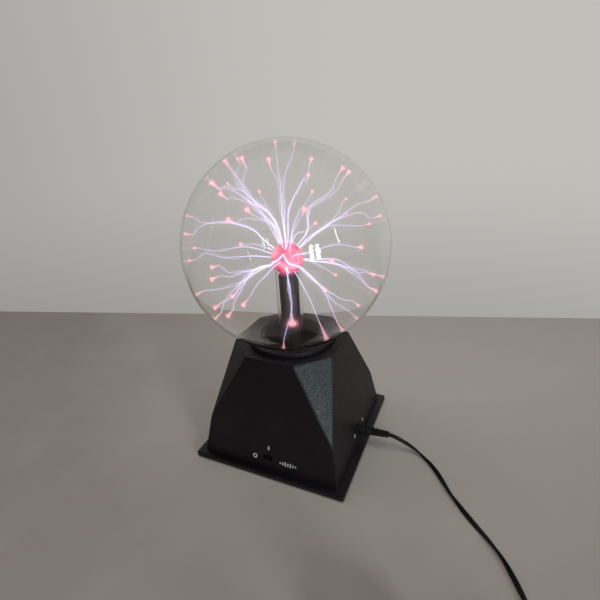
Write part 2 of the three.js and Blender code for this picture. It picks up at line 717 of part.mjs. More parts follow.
function powerLead() {
  const body = piece('plug_body', plugBody(), BLACK_PVC);
  const plugRelief = strainRelief(RELIEF_START, RELIEF_END, 4.5, 3.6, 5);
  const relief = piece('plug_strain_relief', plugRelief, BLACK_PVC);
  const farRelief = strainRelief(FAR_RELIEF_START, FAR_RELIEF_END, 3.9, 3.1, 4);
  const adapterRelief = piece('adapter_strain_relief', farRelief, BLACK_PVC);
  const coil = piece('cord_coil', coiledLead(), BLACK_PVC);
  const tie = piece('cord_tie', coilTie(), plastic(0x1a1a1c, 0.8));
  coil.position.copy(COIL_CENTRE);
  tie.position.copy(COIL_CENTRE);
  tie.rotation.z = THREE.MathUtils.degToRad(200);
  return group(
    piece('plug_barrel', plugBarrel(), metal(0xc8cacc, 0.25)),
    layAlong(body, [PLUG_FACE, 0, SOCKET_Z], [PLUG_FACE + PLUG_LENGTH, 0, SOCKET_Z]),
    layAlong(relief, RELIEF_START, RELIEF_END),
    piece('power_cord', tube(LEAD_TO_COIL, CORD_RADIUS, 40), BLACK_PVC),
    coil,
    tie,
    piece('cord_tail', tube(LEAD_TO_ADAPTER, CORD_RADIUS, 3), BLACK_PVC),
    layAlong(adapterRelief, FAR_RELIEF_START, FAR_RELIEF_END),
    piece('adapter_case', adapterCase(), BLACK_ABS),
    piece('adapter_blade_left', adapterBlade(-6.35), STEEL),
    piece('adapter_blade_right', adapterBlade(6.35), STEEL),
  );
}

// ---------------------------------------------------------------- the whole object

const plasmaGlobe = group(base(), globeAssembly(), electronics(), controls(), powerLead());
plasmaGlobe.name = 'plasma_globe';

export default plasmaGlobe;
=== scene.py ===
"""The looks of the plasma globe: smooth surfaces, finishes, the discharge and the lead, on the CAD frame.

Lengths are metres and Z is up. The front, with the slide switch, faces -Y. The power socket faces +X.
"""

import math
import random

import bmesh
import bpy
from mathutils import Matrix, Vector


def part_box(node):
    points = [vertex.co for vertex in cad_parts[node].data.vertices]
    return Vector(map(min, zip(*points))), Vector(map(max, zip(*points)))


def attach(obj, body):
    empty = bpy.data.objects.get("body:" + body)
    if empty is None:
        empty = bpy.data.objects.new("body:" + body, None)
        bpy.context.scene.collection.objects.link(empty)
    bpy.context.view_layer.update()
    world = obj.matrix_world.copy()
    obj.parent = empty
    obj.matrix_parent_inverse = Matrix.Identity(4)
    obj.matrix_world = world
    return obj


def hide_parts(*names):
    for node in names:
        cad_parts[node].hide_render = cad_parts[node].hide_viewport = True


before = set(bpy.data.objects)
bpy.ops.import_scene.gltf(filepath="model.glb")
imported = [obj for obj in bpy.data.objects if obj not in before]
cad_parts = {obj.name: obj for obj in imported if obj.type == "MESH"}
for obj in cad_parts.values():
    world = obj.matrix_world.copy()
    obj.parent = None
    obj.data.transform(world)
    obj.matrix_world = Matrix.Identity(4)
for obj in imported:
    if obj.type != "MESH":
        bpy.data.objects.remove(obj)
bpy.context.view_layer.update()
MM = 0.001
UP = Vector((0, 0, 1))


# ---------------- sizes, from the frame

GLOBE_LOW, GLOBE_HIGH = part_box("glass_globe")
GLOBE_RADIUS = (GLOBE_HIGH.x - GLOBE_LOW.x) / 2
GLOBE_CENTRE = Vector((0, 0, GLOBE_HIGH.z - GLOBE_RADIUS))
GLASS_WALL = 1.8 * MM
INNER_RADIUS = GLOBE_RADIUS - GLASS_WALL
NECK_RADIUS = 20.5 * MM
NECK_FILLET = 8 * MM

STEM_LOW, STEM_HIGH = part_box("inner_glass_stem")
CORE_LOW, CORE_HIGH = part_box("electrode_core")
ELECTRODE = (CORE_LOW + CORE_HIGH) / 2
BULB_RADIUS = STEM_HIGH.z - ELECTRODE.z
STEM_RADIUS = 13.4 * MM
STEM_WALL = 1.2 * MM
STEM_FOOT_RADIUS = STEM_HIGH.x
SLEEVE_LOW, SLEEVE_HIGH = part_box("stem_sleeve")

PLATE_LOW, PLATE_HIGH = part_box("base_plate")
SHELL_LOW, SHELL_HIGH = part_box("base_shell")
PLATE_TOP = SHELL_LOW.z
BODY_HALF_LOW = SHELL_HIGH.x
BODY_HALF_HIGH = 54.5 * MM
BODY_TOP = SHELL_HIGH.z
BODY_TAPER = (BODY_HALF_LOW - BODY_HALF_HIGH) / (BODY_TOP - PLATE_TOP)
CORNER_CUT = 28.5 * MM
CORNER_APEX = 47 * MM
SHELL_WALL = 2.5 * MM

COLLAR_LOW, COLLAR_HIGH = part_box("globe_collar")
COLLAR_RADIUS = COLLAR_HIGH.x
COLLAR_TOP = COLLAR_HIGH.z
COLLAR_BORE = 33.8 * MM
CAP_LOW, CAP_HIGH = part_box("neck_cap")
CLEARANCE = 0.3 * MM

KNOB_LOW, KNOB_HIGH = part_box("switch_knob")
SWITCH_Z = (KNOB_LOW.z + KNOB_HIGH.z) / 2
PLUG_LOW, PLUG_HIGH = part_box("plug_body")
SOCKET_Z = (PLUG_LOW.z + PLUG_HIGH.z) / 2
PLUG_RADIUS = (PLUG_HIGH.z - PLUG_LOW.z) / 2
RELIEF_START = Vector((PLUG_HIGH.x + 2 * CLEARANCE, 0, SOCKET_Z))
RELIEF_END = Vector((107, 2, 18)) * MM

COIL_LOW, COIL_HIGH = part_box("cord_coil")
COIL_CENTRE = (COIL_LOW + COIL_HIGH) / 2
TIE_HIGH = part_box("cord_tie")[1]
ADAPTER_LOW, ADAPTER_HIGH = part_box("adapter_case")
ADAPTER_MIDDLE = (ADAPTER_LOW + ADAPTER_HIGH) / 2
FAR_RELIEF_START = Vector((ADAPTER_HIGH.x + CLEARANCE, ADAPTER_MIDDLE.y, 5.6 * MM))
FAR_RELIEF_END = Vector((206, -193, 5.2)) * MM

CORD_HALF_WIDTH = 2.1 * MM
CORD_HALF_THICKNESS = 1.1 * MM


# ---------------- shader building


class Shading:
    """A node tree that a material or the room's light is built in."""

    def __init__(self, tree):
        self.tree = tree

    def feed(self, target, value):
        """Links a socket to the target, or sets the target's own value."""
        if isinstance(value, bpy.types.NodeSocket):
            self.tree.links.new(value, target)
        else:
            target.default_value = value

    def node(self, kind, inputs=None, **settings):
        node = self.tree.nodes.new(kind)
        for setting, value in settings.items():
            setattr(node, setting, value)
        for socket, value in (inputs or {}).items():
            self.feed(node.inputs[socket], value)
        return node

    def spread(self, source, low, high, source_low=0.3, source_high=0.7, easing="LINEAR"):
        """source, from source_low to source_high, brought to between low and high."""
        spans = {"From Min": source_low, "From Max": source_high, "To Min": low, "To Max": high}
        node = self.node("ShaderNodeMapRange", {"Value": source, **spans}, interpolation_type=easing)
        return node.outputs["Result"]

    def product(self, first, second):
        node = self.node("ShaderNodeMath", {0: first, 1: second}, operation="MULTIPLY")
        return node.outputs["Value"]

    def vector_math(self, operation, source, vector):
        """The number that an operation such as DISTANCE makes of source and a fixed vector."""
        node = self.node("ShaderNodeVectorMath", {0: source, 1: vector}, operation=operation)
        return node.outputs["Value"]


class Finish(Shading):
    """A material whose Principled shader varies over the surface, in the object's own coordinates."""

    def __init__(self, name, **values):
        self.material = bpy.data.materials.new(name)
        self.material.use_nodes = True
        super().__init__(self.material.node_tree)
        self.shader = self.tree.nodes["Principled BSDF"]
        self.place = self.node("ShaderNodeTexCoord").outputs["Object"]
        for socket, value in values.items():
            self.give(socket.replace("_", " "), value)

    def give(self, socket, value):
        self.feed(self.shader.inputs[socket], value)
        return self

    def noise(self, scale, detail=3.0, stretch=(1, 1, 1)):
        """Noise of about 1 / scale metres, from 0 to 1; a higher stretch makes it finer along an axis."""
        place = self.node("ShaderNodeMapping", {"Vector": self.place, "Scale": stretch}).outputs["Vector"]
        texture = self.node("ShaderNodeTexNoise", {"Vector": place, "Scale": scale, "Detail": detail})
        return texture.outputs["Fac"]

    def ramp(self, source, *stops):
        """A colour for each (place, colour) stop, blended between them."""
        node = self.node("ShaderNodeValToRGB", {"Fac": source})
        elements = node.color_ramp.elements
        while len(elements) < len(stops):
            elements.new(1.0)
        for element, (place, colour) in zip(elements, stops):
            element.position = place
            element.color = (*colour, 1.0)
        return node.outputs["Color"]

    def coloured(self, source, *stops):
        return self.give("Base Color", self.ramp(source, *stops))

    def rough(self, source, low, high, *source_span):
        return self.give("Roughness", self.spread(source, low, high, *source_span))

    def bumped(self, *layers):
        """Relief from (source, depth in metres) layers, one on another."""
        inputs = {"Strength": 1.0}
        for source, depth in layers:
            inputs.update(Height=source, Distance=depth)
            inputs["Normal"] = self.node("ShaderNodeBump", inputs).outputs["Normal"]
        return self.give("Normal", inputs["Normal"])

    def lit(self, source, strength, *stops):
        """Gives off light whose colour follows source."""
        self.give("Emission Strength", strength)
        return self.give("Emission Color", self.ramp(source, *stops))

    def clear_to_lamps(self):
        """Lets the lamps' light straight through, so that it reaches what is behind the glass."""
        shadow = self.node("ShaderNodeLightPath").outputs["Is Shadow Ray"]
        clear = self.node("ShaderNodeBsdfTransparent").outputs["BSDF"]
        mix = self.node("ShaderNodeMixShader", {0: shadow, 1: self.shader.outputs["BSDF"], 2: clear})
        self.feed(self.tree.nodes["Material Output"].inputs["Surface"], mix.outputs["Shader"])
        return self


def grey(value):
    return (value, value, value)


# ---------------- finishes, one for each material slot


def plastic(name, dark, light, scale=1100, depth=0.05 * MM, roughness=(0.42, 0.6), gloss=0.4):
    """Moulded plastic: a fine grain of the given scale and depth, faint clouding and shallow hollows."""
    finish = Finish(name, Specular_IOR_Level=gloss)
    grain = finish.noise(scale, 2)
    finish.coloured(finish.noise(28, 4), (0.35, dark), (0.7, light))
    finish.rough(grain, *roughness)
    return finish.bumped((grain, depth), (finish.noise(90, 2), 0.03 * MM))


def black_abs():
    dark, light = (0.0028, 0.0010, 0.0024), (0.0050, 0.0026, 0.0042)
    return plastic("black_abs", dark, light, scale=1000, depth=0.22 * MM, roughness=(0.34, 0.68))


def black_pvc():
    dark, light = grey(0.0035), grey(0.007)
    return plastic("black_pvc", dark, light, scale=900, depth=0.03 * MM, roughness=(0.5, 0.75), gloss=0.22)


def foot_rubber():
    dark, light = grey(0.012), grey(0.024)
    return plastic("foot_rubber", dark, light, scale=1500, depth=0.06 * MM, roughness=(0.75, 0.95))


def foam():
    finish = Finish("foam")
    cells = finish.noise(900, 4)
    finish.coloured(cells, (0.35, grey(0.008)), (0.65, grey(0.035)))
    finish.rough(cells, 0.9, 1.0)
    return finish.bumped((cells, 0.3 * MM))


def clear_glass(name, ior=1.3):
    """Polished clear glass with a slight waviness and faint smears."""
    finish = Finish(name, Base_Color=(0.998, 0.996, 0.994, 1), Transmission_Weight=1.0, IOR=ior)
    smears = finish.noise(22, 3, stretch=(1, 1, 0.35))
    finish.rough(smears, 0.0, 0.02, 0.6, 0.75)
    finish.bumped((finish.noise(16, 1), 0.012 * MM))
    return finish.clear_to_lamps()


def sleeve_plastic():
    dark, light = grey(0.0015), grey(0.004)
    return plastic("sleeve_plastic", dark, light, scale=500, roughness=(0.45, 0.65), gloss=0.15)


def electrode_metal():
    """The electrode's coating, lit by the discharge on it: red, with pink and dark patches."""
    finish = Finish("electrode_metal")
    patches = finish.noise(75, 3)
    finish.coloured(patches, (0.35, (0.30, 0.02, 0.05)), (0.6, (0.75, 0.12, 0.18)))
    finish.rough(finish.noise(300, 3), 0.35, 0.6)
    finish.bumped((finish.noise(420, 3), 0.1 * MM))
    dark, red, rose, pink = (0.12, 0.00, 0.02), (0.55, 0.02, 0.05), (0.85, 0.08, 0.15), (1.0, 0.45, 0.58)
    return finish.lit(patches, 0.85, (0.36, dark), (0.45, red), (0.55, rose), (0.68, pink))


def cap_plastic():
    return plastic("cap_plastic", grey(0.0015), grey(0.003), scale=600, roughness=(0.45, 0.7), gloss=0.15)


def brushed(name, dark, light, roughness, stretch=(1, 1, 12)):
    """Metal with fine drawn lines."""
    finish = Finish(name, Metallic=1.0)
    lines = finish.noise(700, 3, stretch=stretch)
    finish.coloured(lines, (0.3, dark), (0.7, light))
    finish.rough(lines, *roughness)
    return finish.bumped((lines, 0.01 * MM))


def steel():
    return brushed("steel", (0.42, 0.43, 0.45), (0.66, 0.67, 0.69), (0.22, 0.4))


def plug_metal():
    return brushed("plug_metal", (0.62, 0.62, 0.63), (0.8, 0.8, 0.81), (0.1, 0.22))


def aluminium():
    return brushed("aluminium", (0.6, 0.61, 0.63), (0.78, 0.79, 0.8), (0.3, 0.5), stretch=(1, 12, 1))


def silicone():
    return plastic("silicone", (0.32, 0.025, 0.02), (0.5, 0.05, 0.04), depth=0.02 * MM)


def board_laminate():
    """Green solder mask over a glass weave."""
    finish = plastic("board_laminate", (0.012, 0.10, 0.045), (0.03, 0.19, 0.08), roughness=(0.3, 0.45))
    weave = finish.node("ShaderNodeTexWave", {"Vector": finish.place, "Scale": 700})
    return finish.bumped((weave.outputs["Fac"], 0.02 * MM))


def ferrite():
    return plastic("ferrite", grey(0.025), grey(0.06), scale=900, roughness=(0.55, 0.8))


def winding_tape():
    """Amber tape over the wound turns, which show through as bands."""
    finish = Finish("winding_tape", Coat_Weight=0.3)
    turns = finish.noise(60, 2, stretch=(0.2, 0.2, 14))
    finish.coloured(turns, (0.3, (0.30, 0.12, 0.03)), (0.7, (0.55, 0.26, 0.07)))
    finish.rough(turns, 0.3, 0.5)
    return finish.bumped((turns, 0.08 * MM))


def capacitor_sleeve():
    return plastic("capacitor_sleeve", (0.008, 0.02, 0.08), (0.02, 0.04, 0.14), roughness=(0.25, 0.4))


def chip_epoxy():
    return plastic("chip_epoxy", grey(0.008), grey(0.018), scale=1600)


def trimmer_plastic():
    return plastic("trimmer_plastic", (0.02, 0.09, 0.30), (0.04, 0.15, 0.42))


def tie_band():
    """Woven black tape."""
    finish = plastic("tie_band", grey(0.010), grey(0.020), roughness=(0.7, 0.9))
    weave = finish.noise(1400, 1, stretch=(1, 1, 0.3))
    return finish.bumped((weave, 0.2 * MM))


def printed_white():
    """Worn white pad-printed ink."""
    finish = Finish("printed_white")
    wear = finish.noise(1500, 4)
    finish.coloured(wear, (0.3, grey(0.42)), (0.6, grey(0.62)))
    finish.rough(wear, 0.5, 0.7)
    return finish.bumped((wear, 0.01 * MM))


SLOT_FINISHES = (
    black_abs, black_pvc, foot_rubber, foam, sleeve_plastic, electrode_metal, cap_plastic, steel, plug_metal,
    silicone, board_laminate, ferrite, winding_tape, capacitor_sleeve, aluminium, chip_epoxy, trimmer_plastic,
    tie_band,
)
MATERIALS = {make.__name__: make().material for make in SLOT_FINISHES}
MATERIALS["globe_glass"] = clear_glass("globe_glass").material
MATERIALS["stem_glass"] = clear_glass("stem_glass").material


def finish_cad_nodes():
    """Gives each CAD node the finish of its slot, which its imported material is named after."""
    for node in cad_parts.values():
        for holder in node.material_slots:
            holder.material = MATERIALS[holder.material.name.split(".")[0]]


# ---------------- mesh building


def direction(longitude, latitude):
    """The unit vector at a longitude from +X towards +Y and a latitude, in degrees."""
    lon, lat = math.radians(longitude), math.radians(latitude)
    return Vector((math.cos(lat) * math.cos(lon), math.cos(lat) * math.sin(lon), math.sin(lat)))


def arc(centre, radius, from_degrees, to_degrees, steps):
    """2-D points along an arc; its angles start at the first axis."""
    points = []
    for i in range(steps + 1):
        angle = math.radians(from_degrees + (to_degrees - from_degrees) * i / steps)
        points.append((centre[0] + radius * math.cos(angle), centre[1] + radius * math.sin(angle)))
    return points


def circle(radius, sides):
    return arc((0, 0), radius, 0, 360, sides)[:-1]


def rounded(corners, radius, steps=4, closed=True):
    """A 2-D outline with each corner rounded off by an arc, or by less where its sides are short."""
    points = []
    count = len(corners)
    for i, corner in enumerate(corners):
        if not closed and i in (0, count - 1):
            points.append(tuple(corner))
            continue
        here = Vector(corner)
        before = Vector(corners[i - 1]) - here
        after = Vector(corners[(i + 1) % count]) - here
        reach = min(radius, before.length * 0.45, after.length * 0.45)
        start = here + before.normalized() * reach
        end = here + after.normalized() * reach
        for step in range(steps + 1):
            t = step / steps
            points.append(tuple(start * (1 - t) ** 2 + here * 2 * t * (1 - t) + end * t ** 2))
    return points


def turned(profile, segments, place=Matrix()):
    """A ring about Z for each (radius, height) pair."""
    return [[place @ Vector((x, y, z)) for x, y in circle(radius, segments)] for radius, z in profile]


class Skin:
    """Collects closed surfaces, each laid over rings of points, and builds them as one mesh."""

    def __init__(self):
        self.points = []
        self.faces = []

    def loft(self, rings, tips=(None, None), closed=False):
        """Joins each ring to the next. An end closes on its tip, or with a flat face."""
        first = len(self.points)
        count = len(rings[0])
        for ring in rings:
            self.points.extend(ring)
        for i in range(len(rings) if closed else len(rings) - 1):
            a = first + i * count
            b = first + (i + 1) % len(rings) * count
            for j in range(count):
                k = (j + 1) % count
                self.faces.append((a + j, a + k, b + k, b + j))
        if closed:
            return self
        for tip, start in ((tips[0], first), (tips[1], len(self.points) - count)):
            ring = list(range(start, start + count))
            if tip is None:
                self.faces.append(tuple(ring))
                continue
            self.points.append(tip)
            for j in range(count):
                self.faces.append((ring[j], ring[(j + 1) % count], len(self.points) - 1))
        return self

    def spin(self, profile, segments=96, place=Matrix()):
        """Adds a profile of (radius, height) pairs that starts and ends on the axis, turned about Z."""
        tips = [place @ Vector((0, 0, z)) for _, z in (profile[0], profile[-1])]
        return self.loft(turned(profile[1:-1], segments, place), tips)

    def build(self, name, sharp_degrees=35):
        """One smooth-shaded mesh object, with edges sharper than sharp_degrees left crisp."""
        mesh = bpy.data.meshes.new(name)
        mesh.from_pydata([tuple(p) for p in self.points], [], self.faces)
        work = bmesh.new()
        work.from_mesh(mesh)
        bmesh.ops.recalc_face_normals(work, faces=work.faces)
        work.to_mesh(mesh)
        work.free()
        obj = bpy.data.objects.new(name, mesh)
        bpy.context.scene.collection.objects.link(obj)
        shade(obj, sharp_degrees)
        return obj


def shade(obj, sharp_degrees):
    mesh = obj.data
    mesh.polygons.foreach_set("use_smooth", [True] * len(mesh.polygons))
    mesh.set_sharp_from_angle(angle=math.radians(sharp_degrees))
    mesh.update()


def bevel(obj, width, segments=3, sharp_degrees=35):
    """Rounds every edge of a solid that is sharper than sharp_degrees."""
    work = bmesh.new()
    work.from_mesh(obj.data)
    edges = [e for e in work.edges if e.calc_face_angle(0) > math.radians(sharp_degrees)]
    bmesh.ops.bevel(work, geom=edges, offset=width, segments=segments, affect="EDGES", clamp_overlap=True)
    work.to_mesh(obj.data)
    work.free()
    shade(obj, sharp_degrees)
    return obj


def carve(obj, *cutters, operation="DIFFERENCE", sharp_degrees=35):
    """Cuts the cutters from obj, or joins them to it, and removes them."""
    for cutter in cutters:
        modifier = obj.modifiers.new("carve", "BOOLEAN")
        modifier.operation = operation
        modifier.solver = "EXACT"
        modifier.object = cutter
    bpy.context.view_layer.update()
    cut = bpy.data.meshes.new_from_object(obj.evaluated_get(bpy.context.evaluated_depsgraph_get()))
    obj.modifiers.clear()
    obj.data = cut
    for cutter in cutters:
        bpy.data.objects.remove(cutter)
    shade(obj, sharp_degrees)
    return obj


def block(name, low, high):
    """A plain block, as a start for a carved or bevelled piece."""
    x0, y0, z0 = low
    x1, y1, z1 = high
    rings = [[(x0, y0, z), (x1, y0, z), (x1, y1, z), (x0, y1, z)] for z in (z0, z1)]
    return Skin().loft(rings).build(name)


def ring_solid(name, section, rounding, steps, segments):
    """A closed section of (radius, height) pairs, clear of the axis, rounded and turned about Z."""
    rings = turned(rounded(section, rounding, steps), segments)
    return Skin().loft(rings, closed=True).build(name)


def slab(name, half_x, half_y, corner, levels, centre=(0, 0), steps=6):
    """A rectangular solid with round corners, moved in by an inset at each (inset, height) level."""
    rings = []
    for inset, z in levels:
        outline = []
        for i, (sx, sy) in enumerate(((1, -1), (1, 1), (-1, 1), (-1, -1))):
            corner_centre = (sx * (half_x - corner), sy * (half_y - corner))
            outline += arc(corner_centre, corner - inset, -90 + 90 * i, 90 * i, steps)
        rings.append([Vector((centre[0] + x, centre[1] + y, z)) for x, y in outline])
    return Skin().loft(rings).build(name)


def drum(name, radius, start, end, segments=96):
    """A plain round cutter from start to end."""
    length = (Vector(end) - Vector(start)).length
    profile = [(0, 0), (radius, 0), (radius, length), (0, length)]
    return Skin().spin(profile, segments, along(start, end)).build(name)


def eased(edge, bottom, top, middle=()):
    """Levels for a slab whose lower and upper edges share their (inset, rise) pairs, in millimetres."""
    lower = [(inset * MM, bottom + rise * MM) for inset, rise in edge]
    upper = [(inset * MM, top - rise * MM) for inset, rise in reversed(edge)]
    return [*lower, *middle, *upper]


def along(start, end):
    """The placing that takes a piece turned about Z to the line from start towards end."""
    heading = (Vector(end) - Vector(start)).normalized()
    return Matrix.Translation(start) @ UP.rotation_difference(heading).to_matrix().to_4x4()


def between(a, b, c, d, t):
    """A point between b and c on the centripetal Catmull-Rom curve through all four points."""
    knots = [0.0]
    for start, end in ((a, b), (b, c), (c, d)):
        knots.append(knots[-1] + math.sqrt((end - start).length))
    at = knots[1] + (knots[2] - knots[1]) * t

    def blend(start, end, i, j):
        return start.lerp(end, (at - knots[i]) / (knots[j] - knots[i]))

    ab, bc, cd = blend(a, b, 0, 1), blend(b, c, 1, 2), blend(c, d, 2, 3)
    return blend(blend(ab, bc, 0, 2), blend(bc, cd, 1, 3), 1, 2)


def smooth_line(points, spacing):
    """Points about spacing apart on a curve through the given ones."""
    points = [Vector(p) for p in points]
    padded = [2 * points[0] - points[1], *points, 2 * points[-1] - points[-2]]
    line = []
    for a, b, c, d in zip(padded, padded[1:], padded[2:], padded[3:]):
        steps = max(1, round((c - b).length / spacing))
        line += [between(a, b, c, d, i / steps) for i in range(steps)]
    return [*line, points[-1]]


def sections_along(line, outline_at):
    """A ring at each point of the line, from the untwisted 2-D outline_at(i) across it."""
    rings = []
    side = None
    for i, point in enumerate(line):
        ahead = (line[min(i + 1, len(line) - 1)] - line[max(i - 1, 0)]).normalized()
        if side is None:
            side = ahead.cross(UP if abs(ahead.z) < 0.9 else Vector((1, 0, 0)))
        side = (side - side.dot(ahead) * ahead).normalized()
        top = side.cross(ahead)
        rings.append([point + side * x + top * y for x, y in outline_at(i)])
    return rings


def show(obj, slot, *replaced, body="base", material=None):
    """Puts a piece on its CAD body, with its finish, in place of the CAD nodes that it stands for."""
    obj.data.materials.clear()
    obj.data.materials.append(material or MATERIALS[slot])
    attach(obj, body)
    if replaced:
        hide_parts(*replaced)
    return obj


# ---------------- camera

CAMERA_PLACE = (0.1740, -0.3485, 0.3334)
CAMERA_AZIMUTH = 25.02
CAMERA_ELEVATION = 23.66
CAMERA_ROLL = math.radians(-3.12)


def add_camera():
    """Looks down at the front right corner from close by, through a slightly tilted wide lens."""
    back = direction(CAMERA_AZIMUTH - 90, CAMERA_ELEVATION)
    level = UP.cross(back).normalized()
    upright = back.cross(level)
    right = math.cos(CAMERA_ROLL) * level + math.sin(CAMERA_ROLL) * upright
    up = math.cos(CAMERA_ROLL) * upright - math.sin(CAMERA_ROLL) * level
    data = bpy.data.cameras.new("camera")
    data.sensor_width = 36
    data.lens = 24.89
    data.shift_y = -1 / 600
    data.clip_start = 0.01
    data.dof.use_dof = False
    camera = bpy.data.objects.new("camera", data)
    bpy.context.scene.collection.objects.link(camera)
    turn = Matrix((right, up, back)).transposed().to_4x4()
    camera.matrix_world = Matrix.Translation(CAMERA_PLACE) @ turn
    bpy.context.scene.camera = camera


# ---------------- power lead: cord, plug, reliefs, tie, adapter

# From the plug's relief down to the table, round to the front and on to the coil, in metres.
LEAD_ROUTE = (
    (0.107, 0.002, 0.018), (0.112, 0.0025, 0.0168), (0.118, 0.003, 0.0142), (0.128, 0.004, 0.0089),
    (0.138, 0.002, 0.0046), (0.148, -0.0045, 0.002), (0.158, -0.015, 0.0011), (0.167, -0.027, 0.0011),
    (0.175, -0.039, 0.0011), (0.184, -0.0505, 0.0011), (0.194, -0.061, 0.0011), (0.206, -0.0725, 0.0011),
    (0.217, -0.086, 0.0011), (0.226, -0.101, 0.0011), (0.235, -0.118, 0.0011), (0.243, -0.133, 0.0011),
    (0.25, -0.145, 0.0018), (0.256, -0.158, 0.0022),
)
# From the coil's last turn, over its edge, down to the adapter's relief.
TAIL_ROUTE = (
    (0.234, -0.1953, 0.0105), (0.224, -0.194, 0.0085), (0.215, -0.193, 0.0063), (0.211, -0.193, 0.0056),
    (0.206, -0.193, 0.0052),
)
# The flat lead first stands on its edge this far along, and then turns over by half every HALF_TWIST.
FIRST_EDGE_ON = 52 * MM
HALF_TWIST = 55 * MM

COIL_TURNS = 6.25
COIL_RADIUS = 23 * MM
COIL_LAYER = 2.8 * MM
# Where each turn of the coil lies: outer or inner ring, and layer from the table up.
COIL_SEATS = ((1, 0), (-1, 0), (-1, 1), (1, 1), (1, 2), (-1, 2), (1, 3), (1, 3))


def ease(t):
    t = min(max(t, 0.0), 1.0)
    return t * t * (3 - 2 * t)


def coil_line():
    """Clockwise turns from the coil's right side; each moves to the next turn's seat in its last third."""
    steps_per_turn = 64
    ring_offset = 2.2 * MM
    wander = random.Random(11)
    phases = [wander.uniform(0, 2 * math.pi) for _ in range(3)]
    points = []
    for i in range(1, int(COIL_TURNS * steps_per_turn)):
        gone = i / steps_per_turn
        seat = int(gone)
        move = ease((gone - seat - 0.68) / 0.3)
        (ring_a, layer_a), (ring_b, layer_b) = COIL_SEATS[seat], COIL_SEATS[seat + 1]
        ring = ring_a + (ring_b - ring_a) * move
        layer = layer_a + (layer_b - layer_a) * move
        angle = -2 * math.pi * gone
        waver = 0.25 * MM * (math.sin(2.3 * angle + phases[0]) + math.sin(1.4 * angle + phases[1]))
        radius = COIL_RADIUS + ring_offset * ring + waver
        rise = 0.2 * MM * math.sin(1.7 * angle + phases[2])
        points.append(Vector((
            COIL_CENTRE.x + radius * math.cos(angle),
            COIL_CENTRE.y + radius * math.sin(angle),
            CORD_HALF_WIDTH + 0.1 * MM + COIL_LAYER * layer + rise * min(1, layer),
        )))
    return points


def twin_outline(twist):
    """Two round wires side by side in one jacket, turned by twist."""
    wire = CORD_HALF_THICKNESS
    offset = CORD_HALF_WIDTH - wire
    waist = 0.78 * wire
    right, left = arc((offset, 0), wire, -105, 105, 6), arc((-offset, 0), wire, 75, 285, 6)
    turn = Matrix.Rotation(twist, 2)
    return [tuple(turn @ Vector(p)) for p in (*right, (0, waist), *left, (0, -waist))]


def power_cord():
    """The flat lead, which turns over as it goes, less and less evenly; it never dips into the table."""
    spacing = 2.5 * MM
    line = smooth_line(LEAD_ROUTE, spacing) + coil_line() + smooth_line(TAIL_ROUTE, spacing)
    wander = random.Random(5)
    drift = [(wander.uniform(18, 40), wander.uniform(0, 2 * math.pi)) for _ in range(3)]
    length = 0.0
    twists = []
    for i, point in enumerate(line):
        length += (point - line[i - 1]).length if i else 0.0
        loose = min(1, max(0, (length - 0.12) / 0.1))
        wobble = 0.5 * loose * sum(math.sin(k * length + phase) for k, phase in drift)
        twists.append(math.pi * (0.5 + (length - FIRST_EDGE_ON) / HALF_TWIST) + wobble)
        on_edge = abs(math.sin(twists[-1]))
        half_height = CORD_HALF_THICKNESS + (CORD_HALF_WIDTH - CORD_HALF_THICKNESS) * on_edge
        point.z = max(point.z, half_height + CLEARANCE)
    rings = sections_along(line, lambda i: twin_outline(twists[i]))
    cord = Skin().loft(rings).build("power_cord_twin", sharp_degrees=50)
    show(cord, "black_pvc", "power_cord", "cord_coil", "cord_tail")
    return cord, line


def relief_sleeve(name, start, end, wide, narrow, rings, node):
    """A tapered strain relief with a raised ring for each of rings, and gaps between them."""
    length = (end - start).length
    pitch = length / rings
    gap = 0.9 * MM
    profile = [(0, 0)]
    for i in range(rings):
        radius = wide + (narrow - wide) * i / (rings - 1)
        foot, head = pitch * i, pitch * (i + 0.62)
        profile += [(radius, foot), (radius, head), (radius - gap, head + 0.1 * MM)]
        profile.append((radius - gap, pitch * (i + 0.96)))
    profile += [(narrow - gap, length), (0, length)]
    profile = rounded(profile, 0.35 * MM, steps=3, closed=False)
    sleeve = Skin().spin(profile, 48, along(start, end)).build(name)
    return show(sleeve, "black_pvc", node)


def plug_shell():
    """The plug's moulded body, with a stepped front rim and a finger grip of shallow grooves."""
    length = PLUG_HIGH.x - PLUG_LOW.x
    r = PLUG_RADIUS
    profile = [(0, 0), (r - 0.7 * MM, 0), (r, 0.7 * MM), (r, 4 * MM)]
    for i in range(4):
        groove = (5 + 2 * i) * MM
        profile += [(r - 0.35 * MM, groove), (r - 0.35 * MM, groove + 0.7 * MM), (r, groove + 1.1 * MM)]
        profile.append((r, groove + 1.6 * MM))
    profile += [(r, 14.5 * MM), (r - 0.7 * MM, 17 * MM), (r - 1.2 * MM, length), (0, length)]
    profile = rounded(profile, 0.3 * MM, steps=3, closed=False)
    place = along((PLUG_LOW.x, 0, SOCKET_Z), (PLUG_HIGH.x, 0, SOCKET_Z))
    body = Skin().spin(profile, 64, place).build("plug_shell")
    return show(body, "black_pvc", "plug_body")


